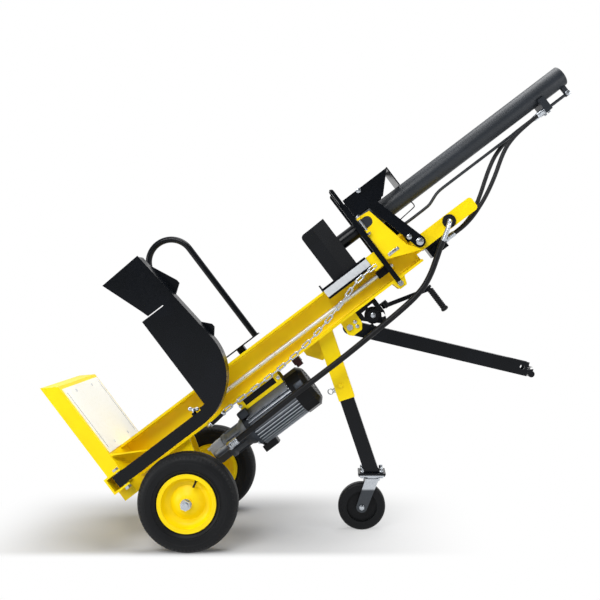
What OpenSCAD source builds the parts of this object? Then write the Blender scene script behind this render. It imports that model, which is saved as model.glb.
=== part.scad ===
// Upright hydraulic log splitter, tipped back on its wheels and swivel castor as it is moved about.
// The mast is drawn in its own frame: x runs up the mast, z out of its front face, y across it.

/* [Mast] */
// Lean of the mast above the floor, in degrees
mast_tilt = 37.2; // [30:0.1:45]
// Depth of the H beam from its front face to its back face
beam_d = 150; // [140:1:165]
// Width of the beam's flanges
beam_w = 150; // [140:1:156]
// Thickness of the flanges
flange_t = 10; // [8:0.5:12]
// Thickness of the web
web_t = 7; // [5:0.5:10]
// Root radius between web and flange
beam_root_r = 9; // [4:0.5:14]
// Height of the beam's top end above the head's lower edge
beam_over = 120; // [100:1:130]

/* [Base] */
// Height of the folded base pan
base_h = 60; // [50:1:75]
// Width of the pan under the log
pan_w = 450; // [420:1:480]
// Reach of the pan's top edge in front of the mast
pan_front = 332; // [300:1:360]
// Run of the sloped front edge
pan_ramp = 38; // [20:1:50]
// Distance behind the mast's front face at which the pan ends
pan_back = 189; // [180:1:200]
// Sheet thickness of the pan
pan_t = 5; // [4:0.5:8]
// Width of the lip folded in under the pan
pan_lip = 40; // [25:1:60]
// Thickness of the wear plate that the log stands on
wear_t = 4; // [3:0.5:8]
// Margin of painted pan left round the wear plate
wear_margin = 16; // [8:1:30]
// Height of the foot gussets where they meet the web
gusset_h = 117; // [90:1:140]
// Turn of the foot gussets from square across the pan, in degrees
gusset_turn = 25.6; // [15:0.1:28]
// Thickness of the foot gussets
gusset_t = 8; // [6:1:12]

/* [Wheels] */
// Outside diameter of the tyres
wheel_od = 390; // [370:1:400]
// Section width of the tyres
tyre_w = 95; // [85:1:105]
// Diameter of the rim flange
rim_od = 229; // [222:1:235]
// Diameter at which the tyre's bead sits
bead_d = 203; // [200:1:208]
// Diameter of the axle
axle_d = 25; // [20:1:30]
// Distance between the middles of the two tyres
track = 570; // [555:1:600]
// Height of the axle up the mast
axle_u = 217; // [210:1:230]
// Distance of the axle behind the beam's back face
axle_drop = 185; // [184:1:200]
// Thickness of the axle bracket plates
bracket_t = 8; // [6:1:12]

/* [Log lifter] */
// Side of the lifter's square tube
lift_bar = 50; // [40:1:52]
// Wall of the lifter's tube
lift_wall = 4; // [3:0.5:6]
// Height of the lifter's hinge bolt up the mast
hinge_u = 55; // [50:1:60]
// Distance of the hinge bolt outside the pan's side
hinge_out = 33; // [32:1:40]
// Distance of the tube's back face behind the mast's front face
lift_back = 132; // [126:1:136]
// Height up the mast at which the lifter starts to curve
curve_u = 440; // [425:1:450]
// Outer radius of the lifter's curve
curve_r = 234; // [220:1:245]
// Lean of the lifter's upper edge, in degrees
lift_lean = 5.2; // [3:0.1:8]
// Thickness of the lifter's sheet
lift_t = 5; // [4:0.5:8]
// Depth of the edge folded in along the curve
lift_fold = 65; // [50:1:70]
// Height of the cradle's lower edge up the mast
cradle_u = 494; // [485:1:505]
// Forward reach of the cradle before its wing
cradle_f = 328; // [312:1:340]
// Forward reach of the wing at the end of the lifter
wing_f = 544; // [528:1:560]
// Thickness of the two log teeth
tooth_t = 6; // [4:0.5:8]
// Diameter of the hinge bolt
hinge_d = 16; // [12:1:20]

/* [Guard hoop] */
// Outside diameter of the hoop's tube
hoop_d = 28; // [22:1:34]
// Radius of the hoop's bend at the tube's middle
hoop_r = 101; // [85:1:115]
// Height of the hoop's middle up the mast
hoop_u = 651; // [630:1:680]
// Forward reach of the bend's centre
hoop_f = 520; // [480:1:550]
// Distance of the hoop from the mast's middle plane
hoop_y = 180; // [165:1:200]
// Side of the square arm that carries the hoop
hoop_arm = 35; // [30:1:38]
// Thickness of the hoop's foot bar
foot_bar_t = 6; // [5:1:10]

/* [Ram] */
// Outside diameter of the cylinder
cyl_od = 88; // [84:1:92]
// Bore of the cylinder
cyl_bore = 75; // [70:1:77]
// Distance of the cylinder's axis in front of the mast
cyl_f = 121; // [118:1:124]
// Diameter of the piston rod
rod_d = 50; // [40:1:54]
// Stroke of the ram
stroke = 850; // [700:5:860]
// Diameter of the trunnions
trunnion_d = 44; // [38:1:46]
// Height of the trunnions above the head's lower edge
trunnion_rise = 30; // [26:1:34]
// Diameter of the steel pipe under the cylinder
pipe_d = 13; // [10:1:16]

/* [Wedge and carriage] */
// Height of the cutting edge above the carriage's lower end
edge_rise = 63; // [53:1:73]
// Length of the wedge from its edge to its back
wedge_l = 123; // [110:1:130]
// Forward reach of the wedge
wedge_f = 245; // [225:1:260]
// Thickness of the wedge at its back
wedge_back = 76; // [60:1:90]
// Height of the carriage's lower end up the mast with the ram drawn in
car_u = 1117; // [1100:1:1135]
// Length of the carriage
car_l = 225; // [215:1:228]
// Width of the carriage over its gibs
car_w = 190; // [186:1:196]
// Thickness of the carriage's top plate
car_t = 10; // [8:1:12]
// Depth of the gibs at the flange's edges
gib_h = 33; // [30:1:36]
// Thickness of the keeper plates behind the flange
keeper_t = 10; // [8:1:12]
// Running clearance between carriage and flange
slide_gap = 0.5; // [0.3:0.1:1]

/* [Head] */
// Thickness of the head's cheek plates
cheek_t = 10; // [8:1:11]
// Distance from the drawn-in carriage up to the head's lower edge
head_gap = 68; // [62:1:80]
// Width of the control levers' flat bar
lever_w = 21; // [18:1:24]
// Thickness of the control levers
lever_t = 10; // [8:1:12]
// Forward reach of the control levers
lever_f = 316; // [290:1:330]
// Distance of the levers' pivot behind the beam's back face
lever_drop = 16; // [14:1:20]
// Thickness of the guard plates
guard_t = 5; // [4:0.5:6]
// Length of the top cover
cover_l = 315; // [290:1:340]
// Depth of the top cover
cover_h = 60; // [50:1:70]

/* [Power pack] */
// Diameter of the motor over its fins
motor_d = 184; // [176:1:190]
// Height of the motor's fins at their root
fin_h = 11; // [8:0.5:14]
// Number of fins round the motor
fins = 36; // [24:1:44]
// Distance of the motor's axis behind the beam's back face
motor_drop = 128; // [126:1:135]
// Height of the motor's drive end up the mast
motor_u = 545; // [540:1:550]
// Length of the finned body
motor_l = 220; // [205:1:230]
// Length of the fan cover
fan_l = 80; // [70:1:90]
// Thickness of the motor rail
rail_t = 15; // [12:1:18]

/* [Leg and castor] */
// Side of the sliding tube
leg_w = 60; // [54:1:60]
// Wall of both leg tubes
leg_wall = 4; // [3:0.5:4.5]
// Distance from the fan cover up the mast to the leg's middle
leg_rise = 170; // [160:1:180]
// Lean of the leg from upright, in degrees
leg_lean = 18.7; // [15:0.1:22]
// Length of the outer tube along its axis
sleeve_l = 285; // [260:1:310]
// Play between the two tubes, on each side
leg_gap = 0.6; // [0.4:0.1:0.9]
// Diameter of the castor's wheel
caster_od = 200; // [180:1:210]
// Width of the castor's wheel
caster_w = 48; // [40:1:54]
// Height of the castor from the floor to its top plate
caster_h = 238; // [230:1:250]
// Trail of the castor's wheel behind its swivel
caster_trail = 42; // [36:1:50]
// Thickness of the leg's foot plate
foot_t = 8; // [6:1:10]

/* [Tow bar and winch] */
// Side of the tow bar's square tube
tow_w = 60; // [52:1:62]
// Wall of the tow bar
tow_wall = 4; // [3:0.5:6]
// Fall of the tow bar below the level, in degrees
tow_fall = 13.3; // [11:0.1:16]
// Distance from the leg up the mast to the tow bar's pivot
tow_rise = 102; // [97:1:110]
// Distance of the pivot behind the beam's back face
tow_drop = 37; // [36:1:40]
// Length of the tow bar from its pivot to its eye
tow_l = 745; // [700:1:800]
// Diameter of the eye at the end of the tow bar
tow_eye_d = 20; // [16:1:25]
// Thickness of the bracket and eye plates
tow_plate_t = 8; // [6:1:10]
// Diameter of the pivot bolt
tow_bolt_d = 16; // [12:1:18]
// Length of the winch's ratchet lever
winch_arm = 200; // [185:1:210]
// Length of the lever's grip
grip_l = 103; // [90:1:115]
// Diameter of the grip
grip_d = 28; // [24:1:32]

/* [Chain and hoses] */
// Wire diameter of the chain
chain_wire = 6; // [5:0.5:6]
// Inside length of a chain link
chain_pitch = 35; // [35:0.5:37]
// Outside diameter of the pressure hose
hose_d = 25; // [22:1:25]
// Outside diameter of the two upper hoses
small_hose_d = 18; // [16:1:19]

/* [Fits] */
// Radial play of a turning pin in its hole
run_fit = 0.05; // [0.03:0.01:0.1]
// Radial play of a fixed pin in its hole
seat_fit = 0.1; // [0.05:0.05:0.3]
// Gap between a moving piece and what it passes
pass_gap = 1; // [0.5:0.1:2]

/* [Hidden] */
$fn = 64;

YELLOW = "#f7cf00";
BLACK = "#1f2124";
ZINC = "#c9ccd0";
ALLOY = "#8b9096";
RUBBER = "#191a1c";
CREAM = "#f4eedd";
STEEL = "#9aa0a6";

// Faces of the beam and places that follow from it
half_w = beam_w / 2;
head_u = car_u + car_l + head_gap;
beam_top = head_u + beam_over;
cyl_foot = head_u - 2;
gland_l = 46;
piston_l = 40;
rod_spare = 60;
end_spare = 32;
cap_t = 15;
port_r = 13;
piston_u = cyl_foot + gland_l + rod_spare + stroke;
cyl_end = piston_u + piston_l + end_spare + cap_t + 2 * port_r;
leg_u = motor_u + motor_l + fan_l + leg_rise;
tow_u = leg_u + tow_rise;
back_f = -beam_d;
axle_f = back_f - axle_drop;
motor_f = back_f - motor_drop;
tow_f = back_f - tow_drop;

// Where the mast stands, with the wheels on the floor and the length centred on the origin
mast_z = wheel_od / 2 - axle_u * sin(mast_tilt) - axle_f * cos(mast_tilt);
pipe_f = 45;
port_u = cyl_end - 25;
port_low = pipe_f - 10;
left_x = -(pan_front + pan_ramp) * sin(mast_tilt);
right_x = (port_u + port_r) * cos(mast_tilt) - port_low * sin(mast_tilt);
mast_x = -(left_x + right_x) / 2;

// Lifter
hinge_y = -pan_w / 2 - hinge_out;
lift_near = hinge_y - lift_bar / 2;
lift_front = lift_back - lift_bar;
curve_f = curve_r - lift_back;
lift_foot = hinge_u - 18;
teeth = [[wing_f - 204, wing_f - 174, wing_f - 158, wing_f - 37, 40],
  [cradle_f - 213, cradle_f - 180, cradle_f - 165, cradle_f - 128, 26]];
ear_t = 8;
ear_u = 4;
ear_gap = 3;
bolt_head_h = 10;
gusset_f = 12;
bracket_up = 85;
bracket_down = 75;
bracket_eye_r = 30;

// Head and control levers
cheek_y = half_w;
lever_y = cheek_y + cheek_t + 2 * pass_gap;
lever_u = head_u - 4 - lever_w;
lever_pin_d = 14;
lever_pin_f = back_f - lever_drop;
keeper_y = lever_y + 9;
keeper_d = 10;
keeper_hex = 16;
keeper_reach = 40;
guard_low = 165;
guard_h = 85;
strap_u = head_u + 68;
strap_w = 44;
guard_l = 230;
hand_plate = [6, 46, 70];
lobe_u = head_u + 154;
lobe_f = -77;

// Ram
rod_eye_u = cyl_foot - 8;
edge_u = car_u + edge_rise;
wedge_u = edge_u + wedge_l;
trunnion_u = head_u + trunnion_rise;

// Leg: its top in the mast's frame, and the height of its foot plate
leg_top_x = mast_x + leg_u * cos(mast_tilt) - back_f * sin(mast_tilt);
leg_top_z = mast_z + leg_u * sin(mast_tilt) + back_f * cos(mast_tilt);
foot_z = caster_h + foot_t;
leg_drop = leg_top_z - foot_z;
leg_l = leg_drop / cos(leg_lean);
foot_x = leg_top_x + leg_drop * tan(leg_lean);
sleeve_w = leg_w + 2 * leg_gap + 2 * leg_wall;

// Wheel sections
rim_w = 76;
hub_r = 22;
hub_half = tyre_w / 2 - 4;
hub_gap = 0.3;
bead_r = bead_d / 2;
tyre_r = wheel_od / 2;

// Tow bar, in the mast's frame
tow_turn = mast_tilt + tow_fall;
tow_gap = 1;

// Winch
winch_u = tow_u + 43;
winch_end = winch_u + 115;
winch_half = 24;
winch_t = 5;
hub_u = winch_end + 18;
hub_f = tow_f - 17;
arm_tilt = 16;

// Hanging line of the chain between the hook on the head and the keeper by the lifter
chain_y = -125;
hook_f = -45;
hook_r = chain_wire / 2;
chain_line = [for (p = [[-54, hook_f], [-148, -50], [-210, -68], [-271, -88], [-376, -113], [-459, -128],
  [-547, -139], [-632, -144], [-773, -146], [-910, -146]]) [head_u + p[0], p[1]]];

// Top cover, valve and the fittings on the cylinder
cover_top = beam_top + cover_l;
cover_low = -cover_h - 53;
cover_t = 5;
grommet_u = beam_top + 183;
grommet_f = -83;
grommet_r = 24;
valve_u = beam_top + 42;
valve_l = 84;
valve_w = 80;
valve_h = 47;
valve_port_f = -136;
near_hose_y = -30;
far_hose_y = 25;
port_block_u = cyl_end - 159;
port_block_l = 32;
port_block_w = 96;
boss_u = head_u + 130;
boss_r = 11;

// Bell housing between motor and pump
spigot_l = 25;
bell_l = 120;
bell_foot_r = 54;
bell_neck_r = 47;
bell_mouth_r = 66;
pump_u = motor_u - spigot_l - bell_l;

// Stroke rod beside the web
stroke_y = -30;
stroke_f = -86;
stroke_r = 10;
stroke_foot = 436;
stroke_top = head_u + 10;

// Routes of the hoses, in the mast's frame
pressure_route = [[440, -116, -272], [520, -116, -272], [600, -117, -270], [690, -118, -268],
  [780, -118, -266], [870, -118, -266], [960, -118, -266], [1050, -118, -265], [1140, -118, -262],
  [1220, -118, -259], [1290, -118, -256], [1350, -118, -252], [1405, -118, -246], [1460, -118, -234],
  [1514, -117, -210], [1564, -116, -179], [1607, -116, -150], [1637, -116, -132]];
elbow_d = 20;
elbow_bend = [for (p = [[-3, -104, -2], [-13, -113, -9], [-26, -116, -18], [-46, -116, -31],
  [-76, -116, -49]]) [grommet_u + p[0], p[1], grommet_f + p[2]]];
near_route = [for (p = [[1672, -136], [1715, -138], [1760, -137], [1810, -128], [1862, -111], [1912, -90],
  [1960, -65], [2002, -40], [2040, -15], [2075, 6], [2110, 22], [2150, 33], [2190, 39],
  [2240, 43], [2280, 45], [2318, 45]]) [p[0], near_hose_y, p[1]]];
far_route = [for (p = [[1672, -136], [1715, -138], [1770, -135], [1824, -120], [1869, -96], [1912, -69],
  [1957, -38], [2000, -10], [2044, 14], [2084, 29], [2123, 39], [2170, 44], [2220, 45],
  [2270, 45], [2318, 45]]) [p[0], far_hose_y, p[1]]];
pipe_bend = [for (p = [[300, 45], [230, 44], [198, 36], [172, 26], [150, 21], [100, 20], [40, 20],
  [18, 24], [5, 35], [0, 50], [0, 66]]) [boss_u + p[0], 0, p[1]]];
pipe_route = concat([for (k = [0 : 2]) [port_u - port_r - k * (port_u - boss_u - 320) / 3, 0, pipe_f]],
  pipe_bend);

// Placing
module mast() translate([mast_x, 0, mast_z]) rotate([0, -mast_tilt, 0]) children();
module leg_frame() translate([leg_top_x, 0, leg_top_z]) rotate([0, -leg_lean, 0]) children();
module tow_frame() mast() translate([tow_u, 0, tow_f]) rotate([0, tow_turn, 0]) children();
module across(y0, y1) translate([0, y1, 0]) rotate([90, 0, 0]) linear_extrude(y1 - y0) children();
module along(u0, u1) translate([u0, 0, 0]) rotate([90, 0, 90]) linear_extrude(u1 - u0) children();
module rod_y(r, y0, y1) translate([0, y0, 0]) rotate([-90, 0, 0]) cylinder(r = r, h = y1 - y0);
module rod_u(r, u0, u1) translate([u0, 0, 0]) rotate([0, 90, 0]) cylinder(r = r, h = u1 - u0);
module rod_f(r, f0, f1) translate([0, 0, f0]) cylinder(r = r, h = f1 - f0);
module hex_y(flats, y0, y1)
  translate([0, y0, 0]) rotate([-90, 0, 0]) cylinder(r = flats / sqrt(3), h = y1 - y0, $fn = 6);
module hex_f(flats, f0, f1)
  translate([0, 0, f0]) cylinder(r = flats / sqrt(3), h = f1 - f0, $fn = 6);
module both_sides() {
  children();
  mirror([0, 1, 0]) children();
}
module square_tube(side, wall) difference() {
  square(side, center = true);
  square(side - 2 * wall, center = true);
}

// A tube swept along a list of points, with rings square to the path; across_path is never along it
function unit(v) = v / norm(v);
function heading(p, i) = unit(p[min(i + 1, len(p) - 1)] - p[max(i - 1, 0)]);
function blend(a, b, c, d, t) =
  0.5 * (2 * b + (c - a) * t + (2 * a - 5 * b + 4 * c - d) * t * t + (3 * b - a - 3 * c + d) * t * t * t);
function smooth_path(p, cuts) = [
  for (i = [0 : len(p) - 2], k = [0 : cuts - 1])
    blend(p[max(i - 1, 0)], p[i], p[i + 1], p[min(i + 2, len(p) - 1)], k / cuts),
  p[len(p) - 1]
];
function ring(c, h, r, sides, across_path) = let (a = unit(cross(h, across_path)), b = cross(h, a))
  [for (k = [0 : sides - 1]) c + r * (cos(360 * k / sides) * a + sin(360 * k / sides) * b)];
module swept_tube(route, d, cuts, sides, across_path = [0, 1, 0]) {
  path = smooth_path(route, cuts);
  last = len(path) - 1;
  points = [for (i = [0 : last]) each ring(path[i], heading(path, i), d / 2, sides, across_path)];
  walls = [for (i = [0 : last - 1], k = [0 : sides - 1], half = [0, 1])
    let (a = i * sides + k, b = i * sides + (k + 1) % sides)
      half == 0 ? [a, b, a + sides] : [b, b + sides, a + sides]];
  foot = [for (k = [1 : sides - 2]) [0, k + 1, k]];
  tip = [for (k = [1 : sides - 2]) [last * sides, last * sides + k, last * sides + k + 1]];
  polyhedron(points, concat(walls, foot, tip));
}

// Mast and base
module beam_recess() {
  r = beam_root_r;
  deep = half_w - web_t / 2 + 1;
  high = beam_d - 2 * flange_t;
  translate([web_t / 2, back_f + flange_t]) {
    translate([r, 0]) square([deep - r, high]);
    translate([0, r]) square([deep, high - 2 * r]);
    for (z = [r, high - r]) translate([r, z]) circle(r);
  }
}
module beam() color(YELLOW) mast() along(base_h, beam_top) difference() {
  translate([-half_w, back_f]) square([beam_w, beam_d]);
  beam_recess();
  mirror([1, 0]) beam_recess();
}

module pan_block(inset, floor_u, roof_u) {
  slope = pan_ramp / base_h;
  nose = inset * sqrt(1 + slope * slope);
  across(-pan_w / 2 + inset, pan_w / 2 - inset) polygon([[floor_u, inset - pan_back],
    [floor_u, pan_front + pan_ramp - slope * floor_u - nose],
    [roof_u, pan_front + pan_ramp - slope * roof_u - nose], [roof_u, inset - pan_back]]);
}
module foot_gusset() difference() {
  spread = pan_w / 2 / cos(gusset_turn);
  translate([0, pan_w / 2 - gusset_t, -gusset_f]) rotate([gusset_turn, 0, 0])
    translate([0, 0, -gusset_t / 2]) linear_extrude(gusset_t)
      polygon([[base_h - 1, 0], [base_h + 6, 0], [base_h + gusset_h, -spread], [base_h - 1, -spread]]);
  translate([0, -half_w, back_f]) cube([base_h + 2 * gusset_h, half_w + web_t / 2, beam_d]);
}
module base_pan() color(YELLOW) mast() {
  difference() {
    pan_block(0, 0, base_h);
    pan_block(pan_t, pan_t, base_h - 2 * pan_t);
    pan_block(pan_lip, -1, pan_t + 1);
  }
  both_sides() foot_gusset();
}
module wear_plate() color(CREAM) mast() {
  half = pan_w / 2 - wear_margin;
  groove = 5;
  groove_h = 2;
  difference() {
    translate([base_h, -half, pass_gap]) cube([wear_t, 2 * half, pan_front - wear_margin - pass_gap]);
    both_sides() translate([base_h + wear_t - groove_h, half - 4 * groove, 4 * groove])
      cube([wear_t, groove, pan_front - wear_margin - 8 * groove]);
  }
}

// Wheels, axle and brackets
module at_axle() mast() translate([axle_u, 0, axle_f]) children();

module axle() color(ZINC) at_axle() {
  tip = track / 2 + tyre_w / 2 + 20;
  collar = track / 2 - hub_half - hub_gap;
  rod_y(axle_d / 2, -tip, tip);
  both_sides() rod_y(axle_d / 2 + 7, collar - 10, collar);
}
module axle_brackets() color(YELLOW) mast() both_sides() difference() {
  across(half_w - 35, half_w - 35 + bracket_t) union() {
    polygon([[axle_u - bracket_down, back_f], [axle_u + bracket_up, back_f],
      [axle_u + bracket_eye_r, axle_f], [axle_u - bracket_eye_r, axle_f]]);
    translate([axle_u, axle_f]) circle(bracket_eye_r);
  }
  translate([axle_u, 0, axle_f]) rod_y(axle_d / 2 + seat_fit, 0, beam_w);
}
module axle_nuts() color(ZINC) at_axle() both_sides() {
  hub_end = track / 2 + hub_half + hub_gap;
  difference() {
    union() {
      rod_y(axle_d / 2 + 9, hub_end, hub_end + 3);
      hex_y(36, hub_end + 3, hub_end + 18);
    }
    rod_y(axle_d / 2 + seat_fit, hub_end - 1, hub_end + 30);
  }
}
module rim_section() {
  lip_r = rim_od / 2;
  wall = 3.5;
  half = rim_w / 2;
  translate([bead_r - wall, -half]) square([wall, rim_w]);
  for (s = [-1, 1]) translate([bead_r - wall, s < 0 ? -half - 1 : half - wall + 1]) {
    square([lip_r - bead_r + wall - 2, wall]);
    translate([lip_r - bead_r + wall - 2, wall / 2]) circle(wall / 2 + 0.8);
  }
  dish = [[bead_r - 2, -10], [bead_r - 12, 2], [72, 5], [60, 13], [46, 23], [32, 30], [hub_r - 2, 33]];
  polygon(concat(dish, [for (k = [len(dish) - 1 : -1 : 0]) dish[k] - [0, 5]]));
  translate([axle_d / 2 + run_fit, -hub_half]) square([hub_r - axle_d / 2 - run_fit, 2 * hub_half]);
}
module tyre_section() {
  half = tyre_w / 2;
  shoulder = 16;
  tread_r = tyre_r;
  bead_half = rim_w / 2 - 4;
  difference() {
    union() {
      translate([tread_r - 2 * shoulder, -half + shoulder]) square([2 * shoulder, tyre_w - 2 * shoulder]);
      translate([tread_r - 62, -half]) square([62 - shoulder, tyre_w]);
      for (s = [-1, 1]) translate([tread_r - shoulder, s * (half - shoulder)]) circle(shoulder);
      polygon([[bead_r + 0.2, -bead_half], [rim_od / 2 + 1, -bead_half], [tread_r - 62, -half],
        [tread_r - 62, half], [rim_od / 2 + 1, bead_half], [bead_r + 0.2, bead_half]]);
    }
    polygon([[bead_r - 1, -16], [bead_r + 10, -16], [bead_r + 26, -half + 11], [tread_r - 26, -half + 11],
      [tread_r - 14, -half + 22], [tread_r - 14, half - 22], [tread_r - 26, half - 11],
      [bead_r + 26, half - 11], [bead_r + 10, 16], [bead_r - 1, 16]]);
    for (w = [-27, -9, 9, 27]) translate([tread_r - 5, w - 2]) square([10, 4]);
  }
}
module wheel_turn(side) at_axle() translate([0, side * track / 2, 0]) rotate([side * -90, 0, 0])
  rotate_extrude($fn = 128) children();
module tyre_near() color(RUBBER) wheel_turn(-1) tyre_section();
module tyre_far() color(RUBBER) wheel_turn(1) tyre_section();
module rim_near() color(YELLOW) wheel_turn(-1) rim_section();
module rim_far() color(YELLOW) wheel_turn(1) rim_section();

// Log lifter
module hinge_line() translate([hinge_u, hinge_y, 0]) children();
module lifter_ears() color(YELLOW) mast() difference() {
  back = -lift_back - ear_gap - ear_t;
  union() {
    for (f = [ear_gap - lift_front, back])
      translate([ear_u, hinge_y - 26, f]) cube([hinge_u + 24 - ear_u, 26 + hinge_out, ear_t]);
    translate([ear_u, hinge_y - 26, back])
      cube([ear_t, 26 + hinge_out, lift_bar + 2 * ear_gap + 2 * ear_t]);
  }
  hinge_line() rod_f(hinge_d / 2 + seat_fit, back - 1, 0);
}
module lifter_bar() color(BLACK) mast() difference() {
  union() {
    along(lift_foot, curve_u) translate([hinge_y, -lift_back + lift_bar / 2])
      square_tube(lift_bar, lift_wall);
    hinge_line() rod_f(hinge_d / 2 + 6, -lift_back, -lift_front);
  }
  hinge_line() rod_f(hinge_d / 2 + run_fit, -lift_back - 1, -lift_front + 1);
}
module curve_disc(inset) intersection() {
  translate([curve_u, curve_f]) circle(curve_r - inset);
  translate([curve_u, curve_f]) polygon([[0, 0], [0, -2 * curve_r], [2 * curve_r, -2 * curve_r],
    2 * curve_r * [cos(lift_lean), sin(lift_lean)]]);
}
function edge_at(f) = curve_u + curve_r / cos(lift_lean) - (f - curve_f) * tan(lift_lean);
module lifter_outline(inset) {
  curve_disc(inset);
  polygon([[curve_u, curve_f], [curve_u + (curve_r - inset) * cos(lift_lean),
    curve_f + (curve_r - inset) * sin(lift_lean)], [edge_at(wing_f) - inset, wing_f],
    [cradle_u - 38, wing_f - 11], [curve_u, cradle_f]]);
}
module lifter_plate() color(BLACK) mast() {
  slit = 4;
  across(lift_near, lift_near + lift_t) difference() {
    lifter_outline(0);
    translate([curve_u - 60, -lift_front + 10])
      square([cradle_u - curve_u + 60, cradle_f + lift_front - 10]);
    translate([curve_u - 60, cradle_f]) square([cradle_u + 104 - curve_u + 60, slit]);
    polygon([[curve_u - 60, cradle_f], [cradle_u + 33, cradle_f], [cradle_u + 22, cradle_f + 35],
      [cradle_u - 38, wing_f - 11], [curve_u - 60, wing_f - 11]]);
    translate([curve_u - 1, -lift_front]) square([30, 20]);
  }
  across(lift_near + lift_t - 1, lift_near + lift_t + lift_fold) difference() {
    lifter_outline(0);
    lifter_outline(lift_t);
    polygon([[curve_u - 60, curve_f], [edge_at(wing_f) - 40, curve_f], [edge_at(wing_f) - 40, wing_f - 6],
      [edge_at(wing_f) + 60, wing_f - 6], [edge_at(wing_f) + 60, wing_f + 60],
      [curve_u - 60, wing_f + 60]]);
  }
  across(lift_near + lift_t + lift_fold - tooth_t, lift_near + lift_t + lift_fold)
    for (t = teeth) polygon([[edge_at(t[0]) - 4, t[0]], [edge_at(t[1]) + t[4], t[1]],
      [edge_at(t[2]) + t[4], t[2]], [edge_at(t[3]) - 4, t[3]]]);
}

// Guard hoop on the far side
module hoop_guard() color(BLACK) mast() {
  r = hoop_d / 2;
  bar_f = 27;
  bar_w = hoop_d + 10;
  for (s = [-1, 1]) translate([hoop_u + s * hoop_r, hoop_y, 0]) rod_f(r, bar_f + foot_bar_t - 1, hoop_f);
  translate([hoop_u, hoop_y, hoop_f]) rotate([90, 0, 0]) rotate_extrude(angle = 180)
    translate([hoop_r, 0]) circle(r);
  translate([hoop_u - hoop_r - bar_w / 2, hoop_y - bar_w / 2, bar_f])
    cube([2 * hoop_r + bar_w, bar_w, foot_bar_t]);
  translate([hoop_u - hoop_arm / 2 + 14, hoop_y - hoop_arm / 2, back_f / 2 - hoop_arm / 2])
    cube([hoop_arm, hoop_arm, bar_f + 1 - back_f / 2 + hoop_arm / 2]);
  translate([hoop_u - hoop_arm / 2 + 14, web_t / 2, back_f / 2 - hoop_arm / 2])
    cube([hoop_arm, hoop_y - web_t / 2, hoop_arm]);
}

// Wedge, carriage and ram
module at_ram() mast() translate([0, 0, cyl_f]) children();
module wedge_side() {
  foot = slide_gap + car_t;
  r = 18;
  translate([edge_u, foot]) square([wedge_l, wedge_f - foot - r]);
  translate([edge_u + r, foot]) square([wedge_l - r, wedge_f - foot]);
  translate([edge_u + r, wedge_f - r]) circle(r);
}
module wedge() color(BLACK) {
  mast() intersection() {
    across(-wedge_back, wedge_back) wedge_side();
    linear_extrude(2 * wedge_f) polygon([[edge_u, -1], [edge_u + wedge_l / 2, -wedge_back / 6],
      [wedge_u, -wedge_back / 2], [wedge_u, wedge_back / 2], [edge_u + wedge_l / 2, wedge_back / 6],
      [edge_u, 1]]);
  }
  at_ram() rod_u(rod_d / 2 + 7, wedge_u - 1, rod_eye_u);
}
module carriage_plate() color(BLACK) mast() {
  lip_w = 120;
  translate([car_u, -car_w / 2, slide_gap]) cube([car_l, car_w, car_t]);
  translate([car_u, -lip_w / 2, slide_gap + car_t - 1]) cube([6, lip_w, 20]);
}
module gib_section() {
  inner = half_w - 25;
  polygon([[half_w + slide_gap, slide_gap], [car_w / 2, slide_gap], [car_w / 2, slide_gap - gib_h],
    [inner, slide_gap - gib_h], [inner, -flange_t - slide_gap],
    [half_w + slide_gap, -flange_t - slide_gap]]);
}
module gib_bars() color(ZINC) mast() both_sides() difference() {
  along(car_u + 6, car_u + car_l) gib_section();
  for (u = [car_u + 20 : 18 : car_u + car_l - 8])
    translate([u, car_w / 2 - 1, slide_gap - gib_h - 1]) cube([3, 2, gib_h + 2]);
}
module keeper_plates() color(BLACK) mast() both_sides()
  translate([car_u + 6, half_w - 25, slide_gap - gib_h - keeper_t])
    cube([car_l - 6, car_w / 2 - half_w + 25, keeper_t]);
module piston_rod() color(STEEL) at_ram() rod_u(rod_d / 2, rod_eye_u, piston_u);
module piston() color(STEEL) at_ram() difference() {
  rod_u(cyl_bore / 2 - run_fit, piston_u, piston_u + piston_l);
  for (u = [8, 26]) difference() {
    rod_u(cyl_bore, piston_u + u, piston_u + u + 5);
    rod_u(cyl_bore / 2 - 4, piston_u + u - 1, piston_u + u + 6);
  }
}
module barrel() color(BLACK) at_ram() difference() {
  union() {
    rod_u(cyl_od / 2, cyl_foot, cyl_end - 2 * port_r - cap_t);
    translate([trunnion_u, 0, 0]) rod_y(trunnion_d / 2, -cheek_y - cheek_t, cheek_y + cheek_t);
    translate([boss_u, 0, 0]) rod_f(boss_r, -cyl_f + 64, -cyl_od / 2 + 3);
  }
  rod_u(cyl_bore / 2, cyl_foot - 1, cyl_end);
}
module gland() color(STEEL) at_ram() difference() {
  rod_u(cyl_bore / 2 - seat_fit, cyl_foot, cyl_foot + gland_l);
  rod_u(rod_d / 2 + run_fit, cyl_foot - 1, cyl_foot + gland_l + 1);
}
module end_cap() color(BLACK) at_ram() {
  edge = 6;
  start = cyl_end - 2 * port_r - cap_t;
  rotate([0, 90, 0]) translate([0, 0, start]) rotate_extrude() {
    square([cyl_od / 2 - edge, cyl_end - start]);
    square([cyl_od / 2, cyl_end - start - edge]);
    translate([cyl_od / 2 - edge, cyl_end - start - edge]) circle(edge);
  }
  translate([port_u, 0, 0]) rod_f(port_r, port_low - cyl_f, 0);
}
module port_block() color(BLACK) mast() difference() {
  low = pipe_f - 13;
  translate([port_block_u, -port_block_w / 2, low])
    cube([port_block_l, port_block_w, cyl_f - 25 - low]);
  translate([0, 0, cyl_f]) rod_u(cyl_od / 2 + seat_fit, boss_u, cyl_end);
  translate([0, 0, pipe_f]) rod_u(pipe_d / 2 + 0.5, boss_u, cyl_end);
}
module steel_pipe() color(BLACK) mast() swept_tube(pipe_route, pipe_d, 2, 12);

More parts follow.
